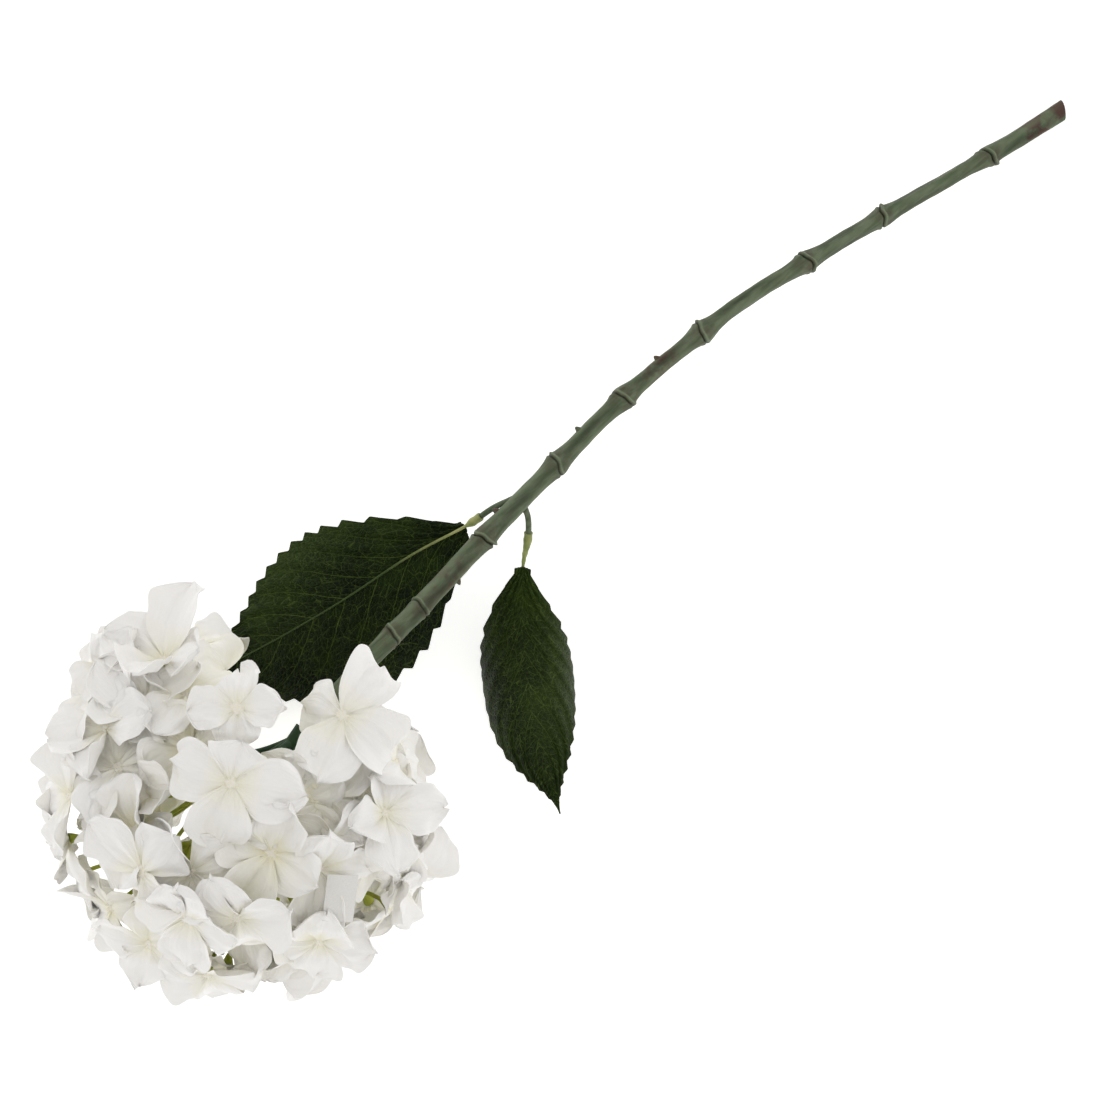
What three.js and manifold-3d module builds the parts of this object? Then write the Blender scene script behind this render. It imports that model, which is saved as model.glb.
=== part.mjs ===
import * as THREE from 'three';
import { mergeVertices } from 'three/addons/utils/BufferGeometryUtils.js';
import Module from 'manifold-3d';

// An artificial cut hydrangea laid on a table: a moulded stem with two leaves plugged on its stubs and,
// at its far end, a ball of white florets on green pedicels. Millimetres, +Z up, the stem along X with
// the cut end at +X, the head at -X and the table at Z 0.

const wasm = await Module();
wasm.setup();

const vec = (x, y, z) => new THREE.Vector3(x, y, z);
const { degToRad, radToDeg, lerp, clamp } = THREE.MathUtils;

// Driving dimensions, in a layout whose origin is moved to the middle of the whole at the end
const MIDDLE = vec(22.5, 1.6, 0);
const GAP = 0.3;
const FRAME_STEPS = 200;

const STEM = {
  path: [
    vec(300.3, 3, 4.4), vec(260.6, 8.5, 13), vec(206.1, 18, 23), vec(166.3, 24.2, 31),
    vec(137.8, 28.2, 37), vec(110.7, 29.6, 42), vec(65.6, 29.6, 51), vec(25.5, 26.3, 58),
    vec(-16.5, 22.3, 66), vec(-59, 17.3, 73), vec(-87, 14.3, 76), vec(-128, 8.8, 78),
  ],
  sides: 8,
  // Distance from the cut end and radius there
  girth: [[0, 4.4], [35, 3.9], [52, 3.3], [190, 3.5], [282, 3.8], [345, 4.4], [450, 4.2]],
  cutSlant: 0.35,
  ridge: 0.05,
  ridgeCount: 3,
  // Distance from the cut end, swelling and height of the lip
  joints: [
    [41, 0.9, 0.9], [96.7, 1.3, 0.8], [137.6, 1.6, 0.8], [194.2, 1.9, 0.7], [240.4, 1.7, 0.6],
    [281.7, 1.5, 0.5], [326.4, 0.9, 0.9], [367.7, 0.4, 0.5], [384.2, 0.3, 0.5],
  ],
  swellingBefore: 9,
  swellingAfter: 8,
  lipHalf: 0.8,
};

const BUDS = [
  { root: vec(89.9, 30, 46.2), tip: vec(88.5, 35.2, 47.5) },
  { root: vec(43.4, 28, 54.9), tip: vec(42.5, 33.5, 56) },
  { root: vec(-5.5, 23.4, 64), tip: vec(-7.5, 29.4, 65) },
  { root: vec(-37.5, 19.8, 69.5), tip: vec(-39, 13.4, 70.5) },
];
const BUD = { rootRadius: 2.6, tipRadius: 1.1, sides: 6 };

const STALK = { rootRadius: 1.8, radius: 1.3, sides: 6, socketDepth: 5, sleeveRadius: 2.05 };
// The shares of a blade's length are counted from its base; a tooth fades towards both ends
const BLADE = {
  thickness: 0.7,
  rows: 32,
  sweep: 0.15,
  sweepRounding: 0.7,
  pleat: 0.6,
  rowsPerVein: 4,
  bluntBase: 0.05,
  smoothBase: 0.08,
  toothGrowth: 3.5,
  toothFade: 6,
};
const RIB = { rootRadius: 0.95, tipRadius: 0.35, sides: 5, rings: 9, end: 0.96 };
const LEAF_LARGE = {
  line: [
    vec(7, 25.4, 62), vec(-6.2, 29.4, 59), vec(-21.1, 31.3, 53.5), vec(-48.1, 37.1, 48.5),
    vec(-84.6, 41.6, 37), vec(-115.3, 47.1, 23), vec(-136, 51.5, 12), vec(-156, 54.5, 5),
  ],
  stalkLength: 27,
  sleeveLength: 8,
  halfWidth: 39,
  lopsided: 0.1,
  baseWidth: 3,
  taper: 0.82,
  sharpness: 0.5,
  bend: 75,
  roll: degToRad(4),
  tooth: 1.6,
  ribSide: 1,
};
const LEAF_SMALL = {
  line: [
    vec(3.6, 24.8, 62), vec(2.2, 17.6, 61), vec(-3.9, 10.1, 55.5), vec(-13.4, 2.2, 49),
    vec(-27.4, -13.2, 44), vec(-43, -35.7, 33.5), vec(-58, -60.1, 18.5), vec(-72.1, -92.5, 1.6),
  ],
  stalkLength: 21,
  sleeveLength: 16,
  halfWidth: 28.5,
  lopsided: 0,
  baseWidth: 3.5,
  taper: 0.9,
  sharpness: 0.9,
  bend: 20.2,
  roll: 0,
  tooth: 1.2,
  ribSide: -1,
};

const HEAD = {
  centre: vec(-167.4, 2.2, 76.5),
  stemSide: vec(1, 0.12, -0.04).normalize(),
  leafSides: [vec(0.55, 0.42, -0.72).normalize(), vec(0.8, 0.6, 0.02).normalize()],
  clearAngle: degToRad(27),
};
const HUB = { at: vec(-129, 8.7, 78), length: 9, radius: 4.4, taper: 0.3, sides: 8 };
const BRANCH = { count: 8, reach: 27, rootRadius: 2, tipRadius: 1.25, sides: 4, clearAngle: degToRad(50) };
// Each ring of the knot is a share of its length and a share of its radius
const KNOT = { radius: 2.7, half: 2.4, sides: 6, rings: [[0, 0.7], [0.3, 1], [0.7, 1], [1, 0.7]] };
const PEDICEL = {
  rootRadius: 1.15,
  radius: 0.85,
  calyxRadius: 2.5,
  calyxHeight: 5,
  seat: 0.3,
  seatShare: 0.6,
  sides: 4,
};

const FLORET = {
  count: 46,
  thickness: 0.7,
  petals: 4,
  length: 26,
  width: 24.5,
  opening: 20,
  notch: 0.2,
  shoulder: 0.48,
  widest: 0.6,
  brow: 0.8,
  tuftHeight: 1.2,
  out: 70,
  outSpread: 8,
  lean: degToRad(24),
  lowestCentre: 10,
  scrap: 300,
};
const TABLE = { low: -2.4, lift: 9 };
const TAG = {
  size: vec(13, 20, 0.6),
  at: vec(-158, -54, 132),
  facing: [-75, 70],
  turn: degToRad(-46),
};

// Florets set by hand where the photograph shows them. Each row is the floret's centre x, y and z, the
// bearing and rise that it faces, the bearing of its first petal, how far its petals open forward, and
// the lengths of its four petals. Lengths are in millimetres, the rest in degrees.
const SEEN_FLORETS = [
  [-109, 3, 130, 20, 74, 21, 10, [29, 22, 31, 29]],
  [-139, 33, 145, 55, 66, 52, 14, [23, 21, 16, 20]],
  [-159, 11, 156, -150, 82, 40, 12, [19, 30, 30, 32]],
  [-122, -39, 125, -25, 54, -28, 22, [28, 19, 22, 26]],
  [-136, -18, 131, -30, 76, -85, 22, [25, 23, 26, 24]],
  [-106, -26, 108, -25, 14, 60, 20, [26, 24, 27, 25]],
  [-123, -22, 113, 0, 56, -15, 20, [25, 23, 26, 24]],
  [-136, -66, 88, -62, 28, 2, 24, [26, 22, 24, 27]],
  [-149, -72, 84, -82, 6, -38, 12, [25, 20, 25, 29]],
  [-186, -67, 72, -115, 24, -152, 16, [28, 24, 25, 29]],
  [-157, -39, 132, -110, 56, -145, 20, [26, 24, 27, 25]],
  [-167, -21, 141, -140, 68, -158, 22, [26, 24, 27, 25]],
  [-194, -33, 142, -132, 44, -102, 16, [30, 25, 27, 31]],
  [-210, -20, 137, -158, 40, -140, 22, [27, 24, 28, 23]],
  [-212, 7, 141, 165, 46, 175, 14, [29, 24, 26, 30]],
  [-204, 21, 130, 145, 54, 130, 24, [27, 25, 28, 26]],
  [-218, 50, 116, 138, 34, 154, 14, [31, 26, 23, 27]],
  [-194, 46, 127, 110, 56, 22, 20, [26, 24, 27, 25]],
  [-213, 62, 92, 125, 18, 110, 10, [31, 27, 22, 26]],
  [-188, 62, 123, 115, 44, 146, 20, [26, 24, 27, 25]],
  [-181, 77, 112, 100, 34, 110, 18, [27, 29, 24, 26]],
  [-151, 68, 120, 72, 44, 28, 30, [36, 29, 25, 22]],
  [-169, 58, 123, 90, 62, 92, 24, [28, 24, 20, 27]],
  [-154, 51, 122, 35, 42, 15, 20, [33, 22, 26, 24]],
  [-166, 32, 131, 80, 72, 180, 24, [24, 26, 22, 25]],
  [-193, 30, 126, 125, 30, 52, 20, [29, 22, 30, 24]],
  [-197, -6, 140, -160, 56, -100, 24, [26, 24, 27, 25]],
  [-240, 4, 80, 175, 24, 160, 20, [27, 25, 28, 26]],
  [-235, 38, 84, 150, 20, 82, 18, [27, 25, 28, 26]],
  [-246, 24, 52, 165, 8, 120, 12, [26, 24, 27, 25]],
  [-219, -47, 76, -135, 16, -102, 14, [28, 26, 29, 27]],
  [-236, -32, 58, -155, 10, -130, 14, [27, 25, 28, 26]],
  [-147, -10, 134, -50, 68, -10, 24, [25, 23, 26, 24]],
  [-148, -37, 126, -100, 50, 110, 22, [26, 24, 27, 25]],
  [-172, 81, 112, 110, 54, 92, 14, [22, 22, 18, 20]],
];

const LOOKS = {
  stem: { color: 0x64765a, roughness: 0.6 },
  branches: { color: 0x2f4a35, roughness: 0.55 },
  pedicel: { color: 0x97a33a, roughness: 0.55 },
  petal: { color: 0xefece8, roughness: 0.85 },
  blade: { color: 0x1c3620, roughness: 0.75 },
  rib: { color: 0x8f9a52, roughness: 0.55 },
  tag: { color: 0xf1efe9, roughness: 0.7 },
};

// A repeatable number from 0 to 1 for any counting number
function draw(n) {
  const wave = Math.sin(n * 12.9898 + 4.1414) * 43758.5453;
  return wave - Math.floor(wave);
}

const spread = (n, reach) => (2 * draw(n) - 1) * reach;

function direction(bearing, rise) {
  const [turn, tilt] = [degToRad(bearing), degToRad(rise)];
  return vec(Math.cos(tilt) * Math.cos(turn), Math.cos(tilt) * Math.sin(turn), Math.sin(tilt));
}

// A body from one of the library's own closed geometries
function solidOf(geometry) {
  geometry.deleteAttribute('normal');
  geometry.deleteAttribute('uv');
  const merged = mergeVertices(geometry);
  const vertProperties = new Float32Array(merged.attributes.position.array);
  const triVerts = new Uint32Array(merged.index.array);
  return new wasm.Manifold(new wasm.Mesh({ numProp: 3, vertProperties, triVerts }));
}

// Closed bodies from points and faces
function closedBody(points, faces) {
  const vertProperties = new Float32Array(points.flatMap((point) => point.toArray()));
  const triVerts = new Uint32Array(faces.flat());
  return new wasm.Manifold(new wasm.Mesh({ numProp: 3, vertProperties, triVerts }));
}

function join(bodies) {
  return bodies.reduce((whole, body) => whole.add(body));
}

// A body through equal loops of points, closed by a fan at each end
function loft(loops) {
  const sides = loops[0].length;
  const faces = [];
  for (let row = 0; row + 1 < loops.length; row += 1) {
    for (let side = 0; side < sides; side += 1) {
      const next = (side + 1) % sides;
      const [a, b] = [row * sides + side, row * sides + next];
      faces.push([a, b, b + sides], [a, b + sides, a + sides]);
    }
  }
  const last = (loops.length - 1) * sides;
  for (let side = 1; side + 1 < sides; side += 1) {
    faces.push([0, side + 1, side], [last, last + side, last + side + 1]);
  }
  return closedBody(loops.flat(), faces);
}

// A tube round a curve; each ring has its distance along the curve and its radius there
function tube(curve, rings, sides, shape = () => 1) {
  const length = curve.getLength();
  const frames = curve.computeFrenetFrames(FRAME_STEPS, false);
  const loops = rings.map(({ distance, radius, slant = 0 }) => {
    const at = clamp(distance / length, 0, 1);
    const step = Math.round(at * FRAME_STEPS);
    const centre = curve.getPointAt(at);
    return Array.from({ length: sides }, (_, side) => {
      const angle = (2 * Math.PI * side) / sides;
      const reach = radius * shape(angle);
      return centre.clone()
        .addScaledVector(frames.normals[step], reach * Math.cos(angle))
        .addScaledVector(frames.binormals[step], reach * Math.sin(angle))
        .addScaledVector(frames.tangents[step], reach * slant * Math.cos(angle));
    });
  });
  return loft(loops);
}

function smoothCurve(points) {
  return new THREE.CatmullRomCurve3(points, false, 'catmullrom', 0.5);
}

// A sheet of even thickness round a surface of points, with the same triangles on both faces; lifts
// raises chosen points of the upper face
function sheet(points, faces, thickness, lifts = {}) {
  const normals = points.map(() => vec(0, 0, 0));
  const edges = new Set();
  for (const [a, b, c] of faces) {
    const across = points[b].clone().sub(points[a]).cross(points[c].clone().sub(points[a]));
    for (const corner of [a, b, c]) normals[corner].add(across);
    for (const edge of [[a, b], [b, c], [c, a]]) edges.add(edge.join());
  }
  const half = thickness / 2;
  normals.forEach((normal) => normal.normalize());
  const upper = points.map((point, i) => point.clone().addScaledVector(normals[i], half + (lifts[i] ?? 0)));
  const lower = points.map((point, i) => point.clone().addScaledVector(normals[i], -half));
  const under = points.length;
  const all = faces.flatMap(([a, b, c]) => [[a, b, c], [a + under, c + under, b + under]]);
  for (const edge of edges) {
    const [a, b] = edge.split(',').map(Number);
    if (!edges.has([b, a].join())) all.push([b, a, a + under], [b, a + under, b + under]);
  }
  return closedBody([...upper, ...lower], all);
}

// The stem: a slender rod, cut aslant at one end and swollen to a ringed joint at each node
const stemCurve = smoothCurve(STEM.path);
const stemLength = stemCurve.getLength();

function slenderRadius(distance) {
  const after = STEM.girth.findIndex(([at]) => at >= distance);
  if (after < 1) return STEM.girth[0][1];
  const [[fromAt, fromRadius], [toAt, toRadius]] = STEM.girth.slice(after - 1, after + 1);
  return lerp(fromRadius, toRadius, (distance - fromAt) / (toAt - fromAt));
}

function stemRings(grow) {
  const ring = (distance, extra = 0) => ({ distance, radius: slenderRadius(distance) + extra + grow });
  const rings = [{ ...ring(0), slant: STEM.cutSlant }, ring(stemLength)];
  for (const [at, swelling, lip] of STEM.joints) {
    rings.push(
      ring(at - STEM.swellingBefore),
      ring(at - STEM.lipHalf - 0.5, swelling),
      ring(at - STEM.lipHalf, swelling + lip),
      ring(at + STEM.lipHalf, swelling * 0.9),
      ring(at + STEM.swellingAfter),
    );
  }
  return rings.sort((a, b) => a.distance - b.distance);
}

function stemRod(grow = 0) {
  const shape = (angle) => 1 + STEM.ridge * Math.cos(STEM.ridgeCount * angle);
  return tube(stemCurve, stemRings(grow), STEM.sides, shape);
}

function bud({ root, tip }) {
  const rings = [
    { distance: 0, radius: BUD.rootRadius },
    { distance: root.distanceTo(tip), radius: BUD.tipRadius },
  ];
  return tube(new THREE.LineCurve3(root, tip), rings, BUD.sides);
}

// The stub on the stem that carries a leaf
function leafStub(leaf, grow = 0) {
  const rings = [
    { distance: 0, radius: STALK.rootRadius + grow },
    { distance: leaf.stalkLength * 0.3, radius: STALK.radius + grow },
    { distance: leaf.stalkLength * 0.7, radius: STALK.radius + grow },
    { distance: leaf.stalkLength + grow, radius: STALK.radius + grow },
  ];
  return tube(smoothCurve(leaf.line), rings, STALK.sides);
}

function stemBody() {
  return join([stemRod(), ...BUDS.map(bud), leafStub(LEAF_LARGE), leafStub(LEAF_SMALL)]);
}

// A leaf: a rib that runs on from the sleeve, and a blade just under the rib or, on the small leaf, over it
const ribRadius = (along) => lerp(RIB.rootRadius, RIB.tipRadius, Math.sqrt(along));

function bladeStart(leaf) {
  return leaf.stalkLength - STALK.socketDepth + leaf.sleeveLength;
}

// A lopsided blade is wider on its left half, which also fills out sooner
function leafHalfWidth(leaf, along, hand) {
  const taper = leaf.taper * (1 - 2 * leaf.lopsided * hand) + leaf.sharpness * along;
  const width = leaf.halfWidth * (1 + leaf.lopsided * hand) * Math.sin(Math.PI * along) ** taper;
  return Math.max(width, along < BLADE.bluntBase ? leaf.baseWidth : 0);
}

function toothDepth(leaf, along) {
  if (along < BLADE.smoothBase) return 0;
  return leaf.tooth * Math.min(1, BLADE.toothGrowth * along, BLADE.toothFade * (1 - along));
}

function bladePoint(leaf, curve, row, across) {
  const start = bladeStart(leaf) / curve.getLength();
  const rooted = row / BLADE.rows;
  const [side, hand] = [Math.abs(across), Math.sign(across)];
  const along = rooted + BLADE.sweep * side * Math.sin(Math.PI * rooted ** BLADE.sweepRounding);
  const at = lerp(start, 1, along);
  const forward = curve.getTangentAt(at);
  const left = vec(0, 0, 1).cross(forward).normalize().applyAxisAngle(forward, leaf.roll);
  const normal = forward.clone().cross(left);
  const tooth = side === 1 ? toothDepth(leaf, along) : 0;
  const reach = side * leafHalfWidth(leaf, along, hand) + (row % 2 ? tooth : -tooth);
  const turn = reach / leaf.bend;
  const pleat = BLADE.pleat * Math.sin(Math.PI * side) * Math.cos((2 * Math.PI * row) / BLADE.rowsPerVein);
  const clearOfRib = leaf.ribSide * (ribRadius(along) + GAP + BLADE.thickness / 2);
  const height = pleat - leaf.bend * (1 - Math.cos(turn)) - clearOfRib;
  return curve.getPointAt(at)
    .addScaledVector(left, hand * leaf.bend * Math.sin(turn))
    .addScaledVector(normal, height);
}

function leafBlade(leaf) {
  const curve = smoothCurve(leaf.line);
  const columns = [-1, -0.55, 0, 0.55, 1];
  const points = [bladePoint(leaf, curve, 0, 0), bladePoint(leaf, curve, BLADE.rows, 0)];
  const corner = (row, column) => 2 + (row - 1) * columns.length + column;
  const faces = [];
  for (let row = 1; row < BLADE.rows; row += 1) {
    points.push(...columns.map((across) => bladePoint(leaf, curve, row, across)));
  }
  for (let column = 0; column + 1 < columns.length; column += 1) {
    faces.push([0, corner(1, column + 1), corner(1, column)]);
    faces.push([1, corner(BLADE.rows - 1, column), corner(BLADE.rows - 1, column + 1)]);
    for (let row = 1; row + 1 < BLADE.rows; row += 1) {
      const [a, b] = [corner(row, column), corner(row, column + 1)];
      const [c, d] = [corner(row + 1, column + 1), corner(row + 1, column)];
      faces.push(...(columns[column] < 0 ? [[a, b, d], [b, c, d]] : [[a, b, c], [a, c, d]]));
    }
  }
  return sheet(points, faces, BLADE.thickness);
}

function leafRib(leaf) {
  const curve = smoothCurve(leaf.line);
  const sleeveStart = leaf.stalkLength - STALK.socketDepth;
  const start = bladeStart(leaf);
  const rings = [
    { distance: sleeveStart, radius: STALK.sleeveRadius },
    { distance: leaf.stalkLength, radius: STALK.sleeveRadius },
    { distance: leaf.stalkLength + 1.5, radius: STALK.sleeveRadius * 0.8 },
  ];
  for (let ring = 0; ring < RIB.rings; ring += 1) {
    const along = (RIB.end * ring) / (RIB.rings - 1);
    rings.push({ distance: lerp(start, curve.getLength(), along), radius: ribRadius(along) });
  }
  rings.sort((a, b) => a.distance - b.distance);
  return tube(curve, rings, RIB.sides).subtract(leafStub(leaf, GAP));
}

// Directions spread evenly over the head: each new one is the candidate furthest from all before it and
// from any side that is left free
function spreadDirections(count, chosen, clearAngle, free = []) {
  const candidates = [];
  const tries = 400;
  const goldenAngle = 180 * (3 - Math.sqrt(5));
  for (let i = 0; i < tries; i += 1) {
    const rise = radToDeg(Math.asin(1 - (2 * (i + 0.5)) / tries));
    const candidate = direction(i * goldenAngle, rise);
    if (candidate.angleTo(HEAD.stemSide) > clearAngle) candidates.push(candidate);
  }
  const all = [...chosen];
  while (all.length < count) {
    const room = (candidate) => Math.min(...all.concat(free).map((other) => candidate.angleTo(other)));
    all.push(candidates.reduce((best, candidate) => (room(candidate) > room(best) ? candidate : best)));
  }
  return all;
}

// Every floret: its centre, the way it faces and its petals
function floretAt(centre, facing, spin, opening, lengths, index) {
  centre.z = Math.max(centre.z, FLORET.lowestCentre);
  const place = centre.clone().sub(HEAD.centre).normalize();
  const turn = new THREE.Quaternion().setFromUnitVectors(vec(0, 0, 1), facing);
  const usual = lengths.reduce((sum, length) => sum + length) / lengths.length;
  const petals = lengths.map((length, k) => {
    const seed = 40 * index + 8 * k;
    return {
      angle: degToRad(spin + 90 * k + spread(seed, 9)),
      length: length * (1 + spread(seed + 1, 0.05)),
      width: (usual / FLORET.length) * FLORET.width * (1 + spread(seed + 2, 0.1)),
      lift: degToRad(opening) + spread(seed + 3, 0.16),
      curl: 0.75 + spread(seed + 4, 0.8),
      cup: 0.15 + spread(seed + 5, 0.34),
      twist: spread(seed + 6, 0.36),
      point: lerp(0.2, 1, draw(seed + 7)),
    };
  });
  return { place, centre, facing, turn, petals };
}

function seenFloret([x, y, z, faceBearing, faceRise, spin, opening, lengths], index) {
  return floretAt(vec(x, y, z), direction(faceBearing, faceRise), spin, opening, lengths, index);
}

function ruledFloret(place, index) {
  const seed = 5000 + 10 * index;
  const tilt = vec(spread(seed, 1), spread(seed + 1, 1), spread(seed + 2, 1)).multiplyScalar(FLORET.lean);
  const out = FLORET.out + spread(seed + 3, FLORET.outSpread);
  const opening = FLORET.opening + spread(seed + 4, FLORET.opening / 2);
  const lengths = [6, 7, 8, 9].map((step) => FLORET.length * (1 + spread(seed + step, 0.1)));
  const centre = HEAD.centre.clone().addScaledVector(place, out);
  const facing = place.clone().add(tilt).normalize();
  return floretAt(centre, facing, spread(seed + 5, 180), opening, lengths, index);
}

function allFlorets() {
  const seen = SEEN_FLORETS.map(([x, y, z]) => vec(x, y, z).sub(HEAD.centre).normalize());
  const places = spreadDirections(FLORET.count, seen, HEAD.clearAngle, HEAD.leafSides);
  return places.map((place, index) => (
    index < SEEN_FLORETS.length ? seenFloret(SEEN_FLORETS[index], index) : ruledFloret(place, index)
  ));
}

// Petals near the table are pressed flat against it
function restOnTable(point) {
  const { low, lift } = TABLE;
  if (point.z < lift) point.z = low + (lift - low) * Math.exp((point.z - lift) / (lift - low));
  return point;
}

// A petal widens from the middle, where it meets its neighbours, then rounds off or comes to a point
function petalHalfWidth(petal, along) {
  const swelling = Math.sin((Math.PI / 2) * Math.min(along / FLORET.widest, 1)) ** 0.8;
  const past = clamp((along - FLORET.widest) / (1 - FLORET.widest), 0, 1);
  const closing = (1 - past ** (3.2 - 1.5 * petal.point)) ** (0.45 + 0.5 * petal.point);
  return Math.min((petal.width / 2) * swelling * closing, petal.length * along + FLORET.thickness);
}

// A petal leaves the middle at its lift and bends back evenly along its length
function petalPoint(floret, petal, along, across) {
  const side = across * petalHalfWidth(petal, along);
  const lean = petal.lift - petal.curl * along;
  const reach = (petal.length * (Math.sin(petal.lift) - Math.sin(lean))) / petal.curl;
  const rise = (petal.length * (Math.cos(lean) - Math.cos(petal.lift))) / petal.curl;
  const height = (petal.cup * side ** 2) / 8 + petal.twist * side * along;
  return vec(reach - height * Math.sin(lean), side, rise + height * Math.cos(lean))
    .applyAxisAngle(vec(0, 0, 1), petal.angle)
    .applyQuaternion(floret.turn)
    .add(floret.centre);
}

// The point between two neighbouring petals where their edges meet
function notchPoint(floret, petal, reach) {
  return vec(reach, 0, Math.sin(petal.lift) * reach * 0.8)
    .applyAxisAngle(vec(0, 0, 1), petal.angle + Math.PI / FLORET.petals)
    .applyQuaternion(floret.turn)
    .add(floret.centre);
}

// A floret: four joined petals that rise to the stamen tuft in the middle
function floretBody(floret) {
  const points = [floret.centre.clone()];
  const faces = [];
  const count = FLORET.petals;
  for (const petal of floret.petals) points.push(notchPoint(floret, petal, petal.length * FLORET.notch));
  floret.petals.forEach((petal, k) => {
    const [notchA, notchB] = [1 + ((k + count - 1) % count), 1 + k];
    const next = points.length;
    const [middle, rightIn, rightOut, tip, leftOut, leftIn] = [0, 1, 2, 3, 4, 5].map((i) => next + i);
    points.push(
      petalPoint(floret, petal, 0.56, 0),
      petalPoint(floret, petal, FLORET.shoulder, -1),
      petalPoint(floret, petal, FLORET.brow, -1),
      petalPoint(floret, petal, 1, 0),
      petalPoint(floret, petal, FLORET.brow, 1),
      petalPoint(floret, petal, FLORET.shoulder, 1),
    );
    faces.push(
      [0, notchA, middle], [0, middle, notchB],
      [notchA, rightIn, middle], [rightIn, rightOut, middle], [rightOut, tip, middle],
      [tip, leftOut, middle], [leftOut, leftIn, middle], [leftIn, notchB, middle],
    );
  });
  return sheet(points.map(restOnTable), faces, FLORET.thickness, { 0: FLORET.tuftHeight });
}

// The green frame inside the head: a hub on the stem's end, branches, and pedicels on each branch
const florets = allFlorets();
const branchDirections = spreadDirections(BRANCH.count, [direction(180, 0)], BRANCH.clearAngle);
const branchEnd = (way) => HEAD.centre.clone().addScaledVector(way, BRANCH.reach);

function branch(way, grow) {
  const outward = HEAD.stemSide.clone().negate();
  const root = HUB.at.clone().addScaledVector(outward, HUB.length / 2);
  const end = branchEnd(way);
  const reach = root.distanceTo(end) / 3;
  const curve = new THREE.CubicBezierCurve3(
    root,
    root.clone().addScaledVector(outward, reach).addScaledVector(way, reach * 0.4),
    end.clone().addScaledVector(way, -reach),
    end,
  );
  const length = curve.getLength() - GAP + grow;
  const rings = [0, 0.2, 0.4, 0.6, 0.8, 1].map((t) => (
    { distance: t * length, radius: lerp(BRANCH.rootRadius, BRANCH.tipRadius, t) + grow }
  ));
  return tube(curve, rings, BRANCH.sides);
}

function branchWhorl(grow = 0) {
  const outward = HEAD.stemSide.clone().negate();
  const from = HUB.at.clone().addScaledVector(outward, GAP - grow);
  const to = HUB.at.clone().addScaledVector(outward, HUB.length + grow);
  const rings = [0, 0.5, 1].map((t) => (
    { distance: t * from.distanceTo(to), radius: HUB.radius * (1 - HUB.taper * t) + grow }
  ));
  const hub = tube(new THREE.LineCurve3(from, to), rings, HUB.sides);
  return join([hub, ...branchDirections.map((way) => branch(way, grow))]);
}

function pedicel(start, way, floret, grow) {
  const seat = FLORET.thickness / 2 + PEDICEL.seat - grow * PEDICEL.seatShare;
  const end = floret.centre.clone().addScaledVector(floret.facing, -seat);
  const reach = start.distanceTo(end) / 3;
  const curve = new THREE.CubicBezierCurve3(
    start,
    start.clone().addScaledVector(way, reach * 0.6),
    end.clone().addScaledVector(floret.facing, -reach),
    end,
  );
  const length = curve.getLength();
  return tube(curve, [
    { distance: 0, radius: PEDICEL.rootRadius + grow },
    { distance: length * 0.5, radius: PEDICEL.radius + grow },
    { distance: length - PEDICEL.calyxHeight, radius: PEDICEL.radius * 1.15 + grow },
    { distance: length, radius: PEDICEL.calyxRadius + grow },
  ], PEDICEL.sides);
}

function spray(index, grow = 0) {
  const way = branchDirections[index];
  const start = branchEnd(way);
  const nearest = (floret) => branchDirections.reduce((best, other, i) => (
    floret.place.angleTo(other) < floret.place.angleTo(branchDirections[best]) ? i : best
  ), 0);
  const rings = KNOT.rings.map(([t, share]) => (
    { distance: 2 * KNOT.half * t, radius: KNOT.radius * share + grow }
  ));
  const from = start.clone().addScaledVector(way, -KNOT.half);
  const to = start.clone().addScaledVector(way, KNOT.half);
  const knot = tube(new THREE.LineCurve3(from, to), rings, KNOT.sides);
  const own = florets.filter((floret) => nearest(floret) === index);
  return join([knot, ...own.map((floret) => pedicel(start, way, floret, grow))]);
}

// The blank paper tag tucked among the petals
function tagBody(grow = 0) {
  const [width, height, thickness] = TAG.size.toArray().map((side) => side + 2 * grow);
  const geometry = new THREE.BoxGeometry(width, height, thickness);
  geometry.rotateZ(TAG.turn);
  const facing = direction(...TAG.facing);
  geometry.applyQuaternion(new THREE.Quaternion().setFromUnitVectors(vec(0, 0, 1), facing));
  geometry.translate(...TAG.at.toArray());
  return solidOf(geometry);
}

function largestPart(body) {
  return body.decompose().reduce((largest, part) => (part.volume() > largest.volume() ? part : largest));
}

function meshNode(name, body, look) {
  const { vertProperties, triVerts } = body.getMesh();
  const geometry = new THREE.BufferGeometry();
  geometry.setAttribute('position', new THREE.BufferAttribute(vertProperties, 3));
  geometry.setIndex(new THREE.BufferAttribute(triVerts, 1));
  geometry.computeVertexNormals();
  const mesh = new THREE.Mesh(geometry, new THREE.MeshStandardMaterial({ ...look, metalness: 0 }));
  mesh.name = name;
  return mesh;
}

const plant = new THREE.Group();
plant.position.copy(MIDDLE).negate();

const sprays = branchDirections.map((_, index) => spray(index).subtract(branchWhorl(GAP)));
const spraysRoom = branchDirections.map((_, index) => spray(index, GAP));
const room = join([branchWhorl(GAP), stemRod(GAP), tagBody(GAP), ...spraysRoom]);
const headOfFlorets = join(florets.map(floretBody)).subtract(room);
const clusters = headOfFlorets.decompose().filter((part) => part.volume() > FLORET.scrap);
clusters.sort((a, b) => b.volume() - a.volume());

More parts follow.
